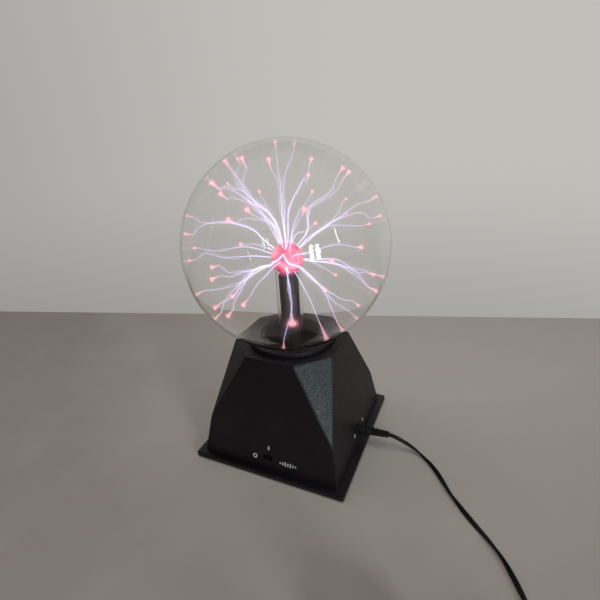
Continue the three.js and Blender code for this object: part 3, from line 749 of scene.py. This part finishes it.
def tie_loop():
    """A flat band around the coil's turns."""
    outward = direction(290, 0)
    across = UP.cross(outward)
    middle = Vector((COIL_CENTRE.x, COIL_CENTRE.y, 0)) + outward * COIL_RADIUS
    half_width, half_long = 5.4 * MM, 4 * MM
    low, high = 0.1 * MM, TIE_HIGH.z - 0.9 * MM
    corners = [(-half_width, low), (half_width, low), (half_width, high), (-half_width, high)]
    band = 0.5 * MM
    outer = rounded(corners, 1.6 * MM, 5)
    inner = rounded([(x * 0.91, low + band if z == low else high - band) for x, z in corners], 1.2 * MM, 5)
    rings = [
        [middle + outward * x + UP * z + across * half_long * side for x, z in outline]
        for outline, side in ((outer, -1), (outer, 1), (inner, 1), (inner, -1))
    ]
    loop = Skin().loft(rings, closed=True).build("tie_loop")
    return show(loop, "tie_band", "cord_tie")


def adapter_shell():
    """The wall adapter's case: round corners, eased edges and a parting line part of the way up."""
    half = (ADAPTER_HIGH - ADAPTER_LOW) / 2
    seam = [(0, 14.6 * MM), (0.5 * MM, 14.7 * MM), (0.5 * MM, 15.3 * MM), (0, 15.4 * MM)]
    levels = eased([(1.6, 0), (0.7, 0.3), (0.2, 0.9), (0, 1.8)], 0, ADAPTER_HIGH.z, seam)
    case = slab("adapter_shell", half.x, half.y, 5 * MM, levels, ADAPTER_MIDDLE, 8)
    return show(case, "black_abs", "adapter_case")


def adapter_prong(name, node):
    """A flat blade with rounded edges and a hole near its end."""
    low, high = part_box(node)
    blade = bevel(block(name, low, high), 0.35 * MM, 2)
    hole_z = high.z - 4.5 * MM
    hole_x = (low.x + high.x) / 2
    hole = drum("hole", 1.5 * MM, (hole_x, low.y - MM, hole_z), (hole_x, high.y + MM, hole_z), 32)
    return show(carve(blade, hole), "steel", node)


def power_lead():
    cord, line = power_cord()
    pieces = [
        plug_shell(),
        relief_sleeve("plug_relief", RELIEF_START, RELIEF_END, 4.5 * MM, 3.6 * MM, 5, "plug_strain_relief"),
        relief_sleeve(
            "adapter_relief", FAR_RELIEF_START, FAR_RELIEF_END, 3.9 * MM, 3.1 * MM, 4, "adapter_strain_relief"
        ),
        tie_loop(),
        adapter_shell(),
        adapter_prong("prong_left", "adapter_blade_left"),
        adapter_prong("prong_right", "adapter_blade_right"),
    ]


# ---------------- base: body, plate, feet, collar, floor of the well

CORNERS = ((-1, -1), (1, -1), (1, 1), (-1, 1))


def body_half(z):
    """Half the body's outside width at a height."""
    return BODY_HALF_LOW - (z - PLATE_TOP) * BODY_TAPER


def body_block(name, inset, bottom, top):
    """The tapered block: square below, with a triangular facet across each upper corner."""
    low, middle, high = (body_half(z) - inset for z in (bottom, CORNER_APEX, top))
    short = high - CORNER_CUT
    skin = Skin()
    for corner, (sx, sy) in enumerate(CORNERS):
        on_x_wall, on_y_wall = (sx * high, sy * short, top), (sx * short, sy * high, top)
        first, second = (on_x_wall, on_y_wall) if sx == sy else (on_y_wall, on_x_wall)
        skin.points += [(sx * low, sy * low, bottom), (sx * middle, sy * middle, CORNER_APEX), first, second]
        here, following = 4 * corner, 4 * ((corner + 1) % 4)
        skin.faces.append((here, following, following + 1, following + 2, here + 3, here + 1))
        skin.faces.append((here + 1, here + 3, here + 2))
    skin.faces.append((0, 4, 8, 12))
    skin.faces.append((2, 3, 6, 7, 10, 11, 14, 15))
    return skin.build(name)


def base_body():
    """The hollow body with round edges, open under the collar, at the switch and at the socket."""
    skirt = 4 * MM
    body = bevel(body_block("base_body", 0, PLATE_TOP - skirt, BODY_TOP), 0.6 * MM, 3, sharp_degrees=12)
    below = block("below", (-PLATE_HIGH.x, -PLATE_HIGH.x, -skirt), (PLATE_HIGH.x, PLATE_HIGH.x, PLATE_TOP))
    hollow = body_block("hollow", SHELL_WALL, PLATE_TOP - MM, BODY_TOP - SHELL_WALL)
    throat = drum("throat", COLLAR_BORE + 5.3 * MM, (0, 0, CAP_HIGH.z), (0, 0, BODY_TOP + MM))
    slot_x, slot_z = 5 * MM, 2.6 * MM
    outside, switch_depth, socket_depth = 80 * MM, 66 * MM, 62 * MM
    slot_low = (-slot_x, -outside, SWITCH_Z - slot_z)
    slot = bevel(block("slot", slot_low, (slot_x, -switch_depth, SWITCH_Z + slot_z)), 0.5 * MM, 2)
    socket = drum("socket", 6.2 * MM, (socket_depth, 0, SOCKET_Z), (outside, 0, SOCKET_Z), 48)
    carve(body, below, hollow, throat, slot, socket, sharp_degrees=20)
    return show(body, "black_abs", "base_shell")


def base_foot_plate():
    """The square plate under the body, with eased edges and recesses for its feet and screws."""
    levels = eased([(0.6, 0), (0.1, 0.25), (0, 0.6)], PLATE_LOW.z, PLATE_TOP)
    plate = slab("foot_plate", PLATE_HIGH.x, PLATE_HIGH.x, 2.5 * MM, levels)
    recesses = []
    for sx, sy in CORNERS:
        for at, radius, depth, sides in ((70, 6.3, 2, 48), (62, 3.6, 3.4, 32)):
            x, y = sx * at * MM, sy * at * MM
            recesses.append(drum("recess", radius * MM, (x, y, 0), (x, y, depth * MM), sides))
    return show(carve(plate, *recesses), "black_abs", "base_plate")


def feet():
    for name in ("front_left", "front_right", "back_right", "back_left"):
        low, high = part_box(f"foot_{name}")
        radius = (high.x - low.x) / 2
        corners = [(0, 0), (radius - 0.3 * MM, 0), (radius, high.z), (0, high.z)]
        profile = rounded(corners, 0.5 * MM, 4, closed=False)
        place = Matrix.Translation(((low.x + high.x) / 2, (low.y + high.y) / 2, 0))
        foot = Skin().spin(profile, 48, place).build(f"pad_{name}")
        show(foot, "foot_rubber", f"foot_{name}")


SEAT_OUTER = (38.6 * MM, COLLAR_TOP - 0.2 * MM)
SEAT_INNER = (COLLAR_BORE, COLLAR_TOP - 3.3 * MM)


def seat_height(radius):
    """The collar's sloping seat at a radius."""
    slope = (SEAT_OUTER[1] - SEAT_INNER[1]) / (SEAT_OUTER[0] - SEAT_INNER[0])
    return SEAT_INNER[1] + slope * (radius - SEAT_INNER[0])


def globe_underside(radius):
    """The globe's outside on its lower half, at a radius."""
    return GLOBE_CENTRE.z - math.sqrt(GLOBE_RADIUS ** 2 - radius ** 2)


def collar():
    """The raised round collar with its sloping seat and the skirt that lines the well."""
    skirt = COLLAR_LOW.z
    outer = COLLAR_BORE + 5 * MM
    section = [
        (COLLAR_RADIUS, BODY_TOP), (COLLAR_RADIUS, COLLAR_TOP), (SEAT_OUTER[0] + 0.4 * MM, COLLAR_TOP),
        SEAT_OUTER, SEAT_INNER, (COLLAR_BORE, skirt), (outer, skirt), (outer, BODY_TOP),
    ]
    show(ring_solid("collar_ring", section, 0.9 * MM, 5, 160), "black_abs", "globe_collar")


def gasket():
    """The foam ring that fills the gap between the collar's seat and the globe."""
    inner, outer = COLLAR_BORE + 0.9 * MM, 37.4 * MM
    section = [
        (inner, seat_height(inner) + CLEARANCE), (outer, seat_height(outer) + CLEARANCE),
        (outer, globe_underside(outer) - CLEARANCE), (inner, globe_underside(inner) - CLEARANCE),
    ]
    show(ring_solid("foam_gasket", section, 0.3 * MM, 3, 160), "foam", "collar_gasket")


def well_floor():
    """The cap that the globe's neck is cemented into; its flange is the floor of the well."""
    top = CAP_HIGH.z
    bore = NECK_RADIUS + CLEARANCE
    floor_top = GLOBE_LOW.z - CLEARANCE
    section = [
        (4 * MM, CAP_LOW.z), (24 * MM, CAP_LOW.z), (24 * MM, top - 3.2 * MM), (CAP_HIGH.x, top - 3.2 * MM),
        (CAP_HIGH.x, top), (bore, top), (bore, floor_top), (4 * MM, floor_top),
    ]
    show(ring_solid("well_floor", section, 0.5 * MM, 3, 128), "cap_plastic", "neck_cap")


# ---------------- glass, sleeve and electrode


def globe_profile(inset):
    """One side of the globe's wall, from the neck's bottom to the top of the ball."""
    reach = NECK_RADIUS + NECK_FILLET
    drop = math.sqrt((GLOBE_RADIUS + NECK_FILLET) ** 2 - reach ** 2)
    meet = math.degrees(math.atan2(drop, reach))
    fillet_centre = (reach, GLOBE_CENTRE.z - drop)
    neck = arc(fillet_centre, NECK_FILLET + inset, 180, 180 - meet, 8)
    ball = arc((0, GLOBE_CENTRE.z), GLOBE_RADIUS - inset, -meet, 90, 96)
    return [(NECK_RADIUS - inset, GLOBE_LOW.z), *neck, *ball[1:-1], (0, ball[-1][1])]


def globe():
    """The clear ball; its neck, in the shade of the well, hardly shines."""
    profile = [*reversed(globe_profile(GLASS_WALL)), *globe_profile(0)]
    glass = Skin().spin(profile, 224).build("clear_globe", sharp_degrees=60)
    show(glass, "globe_glass", "glass_globe")
    glass.data.materials.append(clear_glass("shaded_glass", 1.04).material)
    for face in glass.data.polygons:
        if face.center.z < globe_underside(COLLAR_BORE + 1.5 * MM):
            face.material_index = 1


def stem_profile(inset):
    """One side of the inner glass: flared foot, straight stem and round bulb."""
    stem, bulb = STEM_RADIUS - inset, BULB_RADIUS - inset
    foot = STEM_FOOT_RADIUS - inset
    bottom = STEM_LOW.z
    join = math.degrees(math.acos(stem / bulb))
    flare = [
        (foot, bottom), (foot, bottom + 6 * MM), ((foot + stem) / 2, bottom + 16 * MM),
        (stem, bottom + 30 * MM), (stem, ELECTRODE.z - 20 * MM),
    ]
    flare = rounded(flare, 6 * MM, 5, closed=False)
    ball = arc((0, ELECTRODE.z), bulb, -join, 90, 28)
    return [*flare, *ball[:-1], (0, ball[-1][1])]


def stem():
    profile = [*reversed(stem_profile(STEM_WALL)), *stem_profile(0)]
    glass = Skin().spin(profile).build("clear_stem", sharp_degrees=60)
    show(glass, "stem_glass", "inner_glass_stem")


def sleeve():
    """The black tube inside the stem."""
    outer = SLEEVE_HIGH.x
    bore = outer - 1.6 * MM
    section = [(bore, SLEEVE_LOW.z), (outer, SLEEVE_LOW.z), (outer, SLEEVE_HIGH.z), (bore, SLEEVE_HIGH.z)]
    show(ring_solid("black_sleeve", section, 0.6 * MM, 4, 96), "sleeve_plastic", "stem_sleeve")


def ball_profile(height, radius, steps=40):
    """Half a circle round a point on the Z axis, from its bottom to its top."""
    middle = arc((0, height), radius, -90, 90, steps)[1:-1]
    return [(0, height - radius), *middle, (0, height + radius)]


def electrode():
    """The round electrode, which nearly fills the bulb."""
    radius = BULB_RADIUS - STEM_WALL - 0.2 * MM
    ball = Skin().spin(ball_profile(ELECTRODE.z, radius), 80).build("electrode_ball")
    show(ball, "electrode_metal", "electrode_core")


# ---------------- the discharge

# The discharge's bundles: a trunk and its branches. Places are (longitude, latitude, distance) about the
# globe's centre, in degrees and millimetres; longitude -90 is the front. A branch follows the trunk and ends
# on the glass, at its last longitude and latitude. Two more numbers there give its tip's length and width.
BUNDLES = (
    # back left, upper fan
    (((148, 52, 24), (162, 54, 40)), (
        ((174, 51, 62), (182, 52, 82), (171, 58)),
        ((169, 45, 58), (177, 42, 80), (180, 38)),
        ((172, 49, 62), (192, 57, 85), (222, 59)),
        ((166, 42, 60), (162, 35)),
        ((176, 52, 58), (212, 52, 78), (240, 45)),
    )),
    (((-140, 62, 30), (-128, 55, 55)), (((-120, 57, 75), (-107, 62)), ((-112, 45, 80), (-104, 40)))),
    (((-85, 47, 36), (-85, 38, 62)), (((-83, 33),), ((-91, 31, 84), (-93, 28)))),
    # top
    (((-72, 68, 45),), (((-71, 64, 77), (-75, 61)),)),
    (((126, 75, 45),), (((128, 79, 76), (131, 80)),)),
    (((117, 68, 40),), (((104, 74, 72), (88, 73)),)),
    (((-42, 72, 40), (-35, 64, 66)), (((-32, 60, 85), (-35, 59)), ((-42, 55, 84), (-45, 49)))),
    # right
    (((100, 26, 38),), (((97, 23, 70), (95, 23)),)),
    (((12, 36, 26), (-3, 56, 46)), (((-6, 49, 72), (-11, 50)), ((-4, 46, 74), (-8, 47)))),
    (((54, 11, 26), (60, 12, 50)), (
        ((66, 16, 78), (69, 19)), ((66, 11, 76), (71, 9)), ((52, 8, 72), (50, 5)),
    )),
    (((38, 18, 32), (26, 27, 54)), (((21, 29, 80), (19, 28)), ((10, 25, 78), (-2, 21)))),
    (((97, 8, 30),), (((95, 0, 62), (95, 0)),)),
    (((-8, 4, 38),), (((-20, 12, 70), (-26, 11)),)),
    (((15, -28, 30), (6, -17, 48)), (
        ((0, -17, 72), (-6, -19)), ((-8, -11, 75), (-17, -5)), ((5, -14, 78), (7, -15)),
    )),
    (((24, -24, 34), (22, -17, 52)), (((17, -22, 74), (14, -27)),)),
    (((-38, -26, 34),), (((-44, -12, 68), (-47, -5)),)),
    # front right, from the electrode's front
    (((-22, -39, 28), (-20, -36, 50)), (
        ((-21, -34, 74), (-19, -32)), ((-22, -28, 76), (-25, -20)), ((-23, -40, 78), (-24, -42)),
    )),
    # down the stem's front, and to the lower right
    (((-66, -43, 30), (-61, -48, 46)), (((-64, -51, 66), (-72, -53)),)),
    (((-66, -34, 30), (-64, -32, 50)), (((-63, -24, 72), (-63, -22, 1.1, 1.9)),)),
    (((-36, -48, 42),), (((-30, -53, 66), (-29, -54, 2.2, 1.3)),)),
    # left
    (((-172, 16, 24), (-168, 28, 36), (-161, 26, 58)), (
        ((-153, 21, 82), (-137, 25)), ((-142, 20, 84), (-129, 17)),
    )),
    (((-168, -3, 32), (-167, -1, 55)), (((-166, -3, 80), (-167, -1)),)),
    (((-158, -12, 36), (-156, -7, 62)), (((-157, -2, 82), (-155, -5)),)),
    # front left, from the electrode's front
    (((-122, -36, 23), (-113, -17, 40)), (
        ((-105, -2, 74), (-101, 6)), ((-107, -7, 68), (-102, 0)), ((-98, -10, 76), (-91, -7)),
        ((-107, -20, 78), (-106, -17)), ((-102, -20, 82), (-98, -20)),
    )),
    (((-127, -30, 34), (-128, -27, 56)), (((-131, -20, 82), (-132, -18)), ((-124, -30, 82), (-122, -32)))),
    # single ones between the bundles
    (((-53, 22, 22), (-53, 33, 49)), (((-53, 32),),)),
    (((150, -20, 26), (150, -10, 49)), (((150, -10),),)),
    (((-43, -3, 24), (-43, 8, 49)), (((-43, 8),),)),
    (((-165, 51, 21), (-165, 58, 49)), (((-165, 58),),)),
    (((-86, -21, 26), (-86, -11, 49)), (((-86, -11),),)),
    (((74, -42, 27), (74, -34, 49)), (((74, -34),),)),
    (((134, 15, 23), (134, 26, 49)), (((134, 25),),)),
)


def on_globe(longitude, latitude, distance):
    """A point from its direction and distance about the globe's centre."""
    return GLOBE_CENTRE + distance * direction(longitude, latitude)


TIP_LENGTH = 9 * MM


class Channel:
    """One streamer: its wavering line from the electrode, and its flared tip on the glass."""

    def __init__(self, trunk, branch, wander, waver=1.0):
        trunk_points = [on_globe(lon, lat, d * MM) for lon, lat, d in trunk]
        own_points = [on_globe(lon, lat, d * MM) for lon, lat, d in branch[:-1]]
        start = ELECTRODE + (trunk_points[0] - ELECTRODE).normalized() * (BULB_RADIUS + 0.3 * MM)
        longitude, latitude, *given_size = branch[-1]
        size = wander.uniform(0.7, 1.2)
        self.tip_length, self.tip_width = given_size or (size, size)
        self.end = on_globe(longitude, latitude, INNER_RADIUS - 0.3 * MM)
        tip_start = self.end + (GLOBE_CENTRE - self.end).normalized() * TIP_LENGTH * self.tip_length
        self.line = smooth_line([start, *trunk_points, *own_points, tip_start], 3 * MM)
        phases = [wander.uniform(0, 2 * math.pi) for _ in range(6)]
        for i, point in enumerate(self.line[1:-1], 1):
            loose = min(1, i / 12, (len(self.line) - 1 - i) / 6)
            for axis in range(3):
                slow = 0.5 * math.sin(0.4 * i + phases[axis])
                quick = 0.16 * math.sin(1.5 * i + phases[axis + 3])
                point[axis] += waver * loose * (slow + quick) * MM

    def add_tube(self, skin, root, tip, sides):
        """A round tube that thins from the electrode, fast at first."""
        last = len(self.line) - 1
        radii = [tip + (root - tip) * (1 - i / last) ** 2 for i in range(last + 1)]
        skin.loft(sections_along(self.line, lambda i: circle(radii[i], sides)))

    def add_flare(self, skin, stem, mouth, curve, sides, length=1.0):
        """A trumpet from the line's end to the glass; a higher curve opens nearer to the glass."""
        start = self.line[-1]
        whole = (self.end - start).length
        reach = whole * length
        steps = 8
        flare = [(0, whole - reach)]
        for step in range(steps + 1):
            t = step / steps
            radius = self.tip_width * (stem + (mouth - stem) * t ** curve)
            flare.append((radius, whole - reach * (1 - t) + 0.02 * MM))
        flare += [(self.tip_width * mouth * 0.6, whole + 0.15 * MM), (0, whole + 0.2 * MM)]
        skin.spin(flare, sides, along(start, self.end))


def arc_on_bulb(places):
    """A line that hugs the bulb through (longitude, latitude) places about the electrode."""
    radius = BULB_RADIUS + 0.5 * MM
    line = smooth_line([direction(*place) for place in places], 1 * MM / radius)
    return [ELECTRODE + point.normalized() * radius for point in line]


# Bright arcs on the bulb, through (longitude, latitude) places about the electrode: two legs that run from
# its front into the front bundles, and the roots of the channels at its top and its lower front.
BULB_ARCS = (
    ((-78, 32), (-88, 20), (-102, 8), (-122, -2), (-130, -8)),
    ((-78, 32), (-70, 16), (-60, 2), (-45, -6), (-30, -14)),
    ((-70, 78), (-66, 62), (-70, 48)),
    ((-62, -36), (-68, -24), (-72, -14)),
)


def light(name, reach_from, reach_to, centre, strength, alpha, *stops):
    """Light alone, whose colour follows the distance from centre between the two reaches."""
    finish = Finish(name, Base_Color=(0, 0, 0, 1), Roughness=1.0, Specular_IOR_Level=0.0, Alpha=alpha)
    distance = finish.vector_math("DISTANCE", finish.place, centre)
    reach = finish.spread(distance, 0, 1, reach_from, reach_to)
    flicker = finish.spread(finish.noise(130, 2), 0.8, 1.1)
    return finish.lit(finish.product(reach, flicker), strength, *stops).material


def show_light(name, skin, *light_settings):
    show(skin.build(name), "electrode_metal", material=light(name, *light_settings))


def streamers():
    """Bright thin channels in layers of haze, with flared tips on the glass."""
    wander = random.Random(3)
    routes = [(trunk, branch) for trunk, branches in BUNDLES for branch in branches]
    main = [Channel(trunk, branch, wander) for trunk, branch in routes]
    strands = [Channel(trunk, branch, wander, waver=2.4) for trunk, branch in routes]
    cores, glow, haze, veil, tip_hearts, tip_cones, tip_haze = (Skin() for _ in range(7))
    for streamer in main:
        streamer.add_tube(cores, 0.34 * MM, 0.12 * MM, 6)
        streamer.add_tube(glow, 0.8 * MM, 0.5 * MM, 8)
        streamer.add_tube(haze, 2.4 * MM, 2.2 * MM, 10)
        streamer.add_tube(veil, 5.5 * MM, 5.0 * MM, 12)
        streamer.add_flare(tip_hearts, 0.2 * MM, 1.7 * MM, 3.2, 12)
        streamer.add_flare(tip_cones, 0.5 * MM, 2.8 * MM, 2.6, 16)
        streamer.add_flare(tip_haze, 1.4 * MM, 4.4 * MM, 1.4, 16, length=0.8)
    for strand in strands:
        strand.add_tube(cores, 0.20 * MM, 0.09 * MM, 5)
    for places in BULB_ARCS:
        line = arc_on_bulb(places)
        last = len(line) - 1
        cores.loft(sections_along(line, lambda i: circle((1.0 - 0.4 * abs(2 * i / last - 1)) * MM, 8)))
        glow.loft(sections_along(line, lambda i: circle(2.4 * MM, 8)))
    along_channel = (
        (cores, "discharge_channels", 1.7, 0.5, (0.90, 0.88, 1.0), (0.68, 0.65, 1.0), (0.70, 0.56, 0.80)),
        (glow, "discharge_glow", 1.8, 0.06, (0.50, 0.42, 0.90), (0.58, 0.55, 1.0), (0.30, 0.20, 0.42)),
        (haze, "discharge_haze", 1.5, 0.008, (0.55, 0.42, 0.60), (0.9, 0.75, 1.0), (0.66, 0.50, 0.85)),
        (veil, "discharge_veil", 1.6, 0.004, (0.30, 0.22, 0.28), (1.0, 0.78, 0.95), (1.0, 0.75, 0.85)),
    )
    for skin, name, strength, alpha, *colours in along_channel:
        stops = zip((0.0, 0.35, 0.9), colours)
        show_light(name, skin, BULB_RADIUS, INNER_RADIUS, ELECTRODE, strength, alpha, *stops)
    along_tip = (
        (tip_hearts, "tip_hearts", 1.6, 0.28, (1.0, 0.65, 0.80), (1.0, 0.66, 0.74), (1.0, 0.62, 0.70)),
        (tip_cones, "tip_cones", 1.5, 0.11, (1.0, 0.45, 0.70), (1.0, 0.36, 0.50), (1.0, 0.32, 0.44)),
        (tip_haze, "tip_haze", 1.5, 0.02, (1.0, 0.45, 0.70), (1.0, 0.30, 0.44), (1.0, 0.25, 0.38)),
    )
    for skin, name, strength, alpha, *colours in along_tip:
        stops = zip((0.0, 0.5, 0.9), colours)
        show_light(name, skin, INNER_RADIUS - TIP_LENGTH, INNER_RADIUS, GLOBE_CENTRE, strength, alpha, *stops)


def bulb_glow():
    """Two thin shells of light close around the bulb, pale at its top."""
    shells = Skin()
    for height in (0.35 * MM, 1.2 * MM):
        shells.spin(ball_profile(ELECTRODE.z, BULB_RADIUS + height), 80)
    top = Vector((0, 0, ELECTRODE.z + BULB_RADIUS))
    stops = (0.0, (1.0, 0.60, 0.75)), (0.5, (1.0, 0.34, 0.50)), (0.95, (0.8, 0.16, 0.40))
    show_light("bulb_glow", shells, 0, 2 * BULB_RADIUS, top, 1.5, 0.05, *stops)


def air_glow():
    """The gas's faint light, in six shells about the electrode and one along the glass."""
    shells = Skin()
    for step in range(6):
        shells.spin(ball_profile(ELECTRODE.z, BULB_RADIUS + (step + 1) * 11.4 * MM), 80)
    shells.spin(ball_profile(GLOBE_CENTRE.z, INNER_RADIUS - 0.25 * MM), 96)
    stops = (0.0, (1.0, 0.78, 0.96)), (0.5, (1.0, 0.72, 0.82)), (1.0, (1.0, 0.62, 0.58))
    show_light("air_glow", shells, BULB_RADIUS, INNER_RADIUS, ELECTRODE, 1.0, 0.0022, *stops)


# ---------------- printed marks and switch


# How far the ink's back and front faces stand out from the wall.
INK_FACES = (-0.02 * MM, 0.06 * MM)


def mark(skin, outline, right, up, x_wall=False):
    """A thin printed patch on the front wall, or on the right one, at a place along it and a height."""
    rings = []
    for proud in INK_FACES:
        places = [(body_half(up + v) + proud, right + u, up + v) for u, v in outline]
        rings.append([Vector((x, y, z) if x_wall else (y, -x, z)) for x, y, z in places])
    skin.loft(rings)


def strip(half_width, half_height):
    x, y = half_width * MM, half_height * MM
    return rounded([(-x, -y), (x, -y), (x, y), (-x, y)], 0.2 * MM, 3)


def marks():
    """A bar above the switch for on, a ring at its left for off, and level bars at its right for sound."""
    skin = Skin()
    mark(skin, strip(0.75, 2.2), 0.8 * MM, 29 * MM)
    ring_x, ring_z = -14.6 * MM, 16.5 * MM
    rings = []
    back, front = INK_FACES
    for radius, proud in ((2.5, back), (2.5, front), (1.5, front), (1.5, back)):
        places = [(ring_x + u, ring_z + v) for u, v in circle(radius * MM, 40)]
        rings.append([Vector((x, -body_half(z) - proud, z)) for x, z in places])
    skin.loft(rings, closed=True)
    for i, height in enumerate((0.9, 1.6, 2.4, 1.7, 2.3, 1.5, 0.9)):
        mark(skin, strip(0.6, height), (14.2 + 2.8 * i) * MM, 16.3 * MM)
    for y in (15, -14):
        mark(skin, strip(0.9, 2.0), y * MM, 18.7 * MM, x_wall=True)
    show(skin.build("printed_marks"), "black_abs", material=printed_white().material)


def switch_grip():
    """The switch's slider and its grip, with three finger grooves and rounded edges."""
    front = KNOB_LOW.y
    slider_front = -68.3 * MM
    slider_half, shank_half = 2.2 * MM, 1.6 * MM
    slider_low = (KNOB_LOW.x, slider_front, SWITCH_Z - slider_half)
    slider = block("slider", slider_low, (KNOB_HIGH.x, KNOB_HIGH.y, SWITCH_Z + slider_half))
    shank_low = (-2 * MM, front, SWITCH_Z - shank_half)
    shank = bevel(block("shank", shank_low, (2 * MM, slider_front + MM, SWITCH_Z + shank_half)), 0.25 * MM)
    grooves = []
    for x in (-1.1, 0, 1.1):
        low = ((x - 0.25) * MM, front - MM, SWITCH_Z - 3 * MM)
        high = ((x + 0.25) * MM, front + 0.5 * MM, SWITCH_Z + 3 * MM)
        grooves.append(block("groove", low, high))
    grip = carve(carve(shank, *grooves), slider, operation="UNION")
    grip.name = "switch_grip"
    return show(grip, "black_abs", "switch_knob", body="switch_slider")


# ---------------- table, room light and lamps


def table_top():
    """A pale grey table whose far edge runs behind the object; its colour darkens with the distance from a
    point behind the object, towards the front, as painted shade for the room light's fall-off.
    """
    edge_start, edge_end = Vector((-1.9, -0.25, 0)), Vector((1.6, 0.78, 0))
    toward_front = Vector((0.29, -1, 0)) * 2.6
    corners = [edge_start, edge_end, edge_end + toward_front, edge_start + toward_front]
    thick = 30 * MM
    rings = [[corner - UP * depth for corner in corners] for depth in (thick, 0.0)]
    top = Skin().loft(rings).build("table")
    finish = Finish("table_laminate")
    painted_shade_distance = finish.vector_math("DISTANCE", finish.place, (0.05, 0.4, 0))
    mottle = finish.spread(finish.noise(9, 6), 0.85, 1.15)
    # Painted shade: the colour darkens with the distance from a point behind the object, standing in for the
    # room light's fall-off.
    shade = finish.product(finish.spread(painted_shade_distance, 0, 1, 0.3, 0.6), mottle)
    finish.coloured(shade, (0.0, (0.440, 0.397, 0.367)), (1.0, (0.285, 0.252, 0.232)))
    finish.rough(finish.noise(40, 4), 0.72, 0.85)
    finish.bumped((finish.noise(1200, 3), 0.03 * MM))
    top.data.materials.append(finish.material)


def room_light():
    """A pale wall behind the table, darker to its left and low down, and a dim room on the other sides."""
    world = bpy.data.worlds.new("room")
    bpy.context.scene.world = world
    world.use_nodes = True
    room = Shading(world.node_tree)
    ray = room.node("ShaderNodeTexCoord").outputs["Generated"]

    def share(axis, axis_low, axis_high, low, high):
        """A factor that changes from low to high with how far the ray points along axis."""
        reach = room.vector_math("DOT_PRODUCT", ray, axis)
        return room.spread(reach, low, high, axis_low, axis_high, easing="SMOOTHSTEP")

    toward_right, toward_wall = direction(25, 0), direction(115, 0)
    brightness = share(toward_wall, 0.1, 0.6, 0.06, 1.0)
    brightness = room.product(brightness, share(toward_right, -1.2, 0.15, 0.53, 1.0))
    brightness = room.product(brightness, share(UP, -0.5, -0.08, 0.71, 1.0))
    brightness = room.product(brightness, share(UP, 0.35, 0.7, 1.0, 0.5))
    background = world.node_tree.nodes["Background"]
    room.feed(background.inputs["Color"], (0.530, 0.520, 0.495, 1))
    room.feed(background.inputs["Strength"], brightness)


def lamp(name, azimuth, elevation, distance, width, height, power, colour):
    """A soft rectangular light that faces the globe; azimuth 0 is in front of it and 90 to its right."""
    outward = direction(azimuth - 90, elevation)
    data = bpy.data.lights.new(name, "AREA")
    data.shape = "RECTANGLE"
    data.size, data.size_y = width, height
    data.energy = power
    data.color = colour
    obj = bpy.data.objects.new(name, data)
    bpy.context.scene.collection.objects.link(obj)
    obj.location = GLOBE_CENTRE + outward * distance
    obj.rotation_mode = "QUATERNION"
    obj.rotation_quaternion = outward.to_track_quat("Z", "Y")
    return obj


def lamps():
    """Windows to the right, which show in the glass, and soft light from elsewhere, which doesn't."""
    for side in (-1, 1):
        lamp(f"window_{side}", 53.5 + side * 3.2, 8, 1.6, 0.11, 0.42, 7, (0.82, 1.0, 0.98))
    lamp("side_window", 80, 18, 1.6, 0.03, 0.42, 1.3, (0.9, 1.0, 0.98))
    overhead = lamp("overhead", 20, 80, 1.4, 1.2, 1.2, 11, (1.0, 0.97, 0.94))
    left_fill = lamp("left_fill", -75, 40, 1.5, 1.0, 1.0, 4, (1.0, 0.96, 0.90))
    for soft in (overhead, left_fill):
        soft.visible_glossy = False
        soft.visible_transmission = False


def colour_and_depth():
    """Plain colours, and enough steps for light to pass all the layers of the discharge."""
    view = bpy.context.scene.view_settings
    view.view_transform = "Standard"
    view.look = "None"
    bpy.context.scene.cycles.transparent_max_bounces = 200


# ---------------- the whole scene

add_camera()
power_lead()
finish_cad_nodes()
base_body()
base_foot_plate()
feet()
collar()
gasket()
well_floor()
globe()
stem()
sleeve()
electrode()
streamers()
bulb_glow()
air_glow()
marks()
switch_grip()
table_top()
room_light()
lamps()
colour_and_depth()
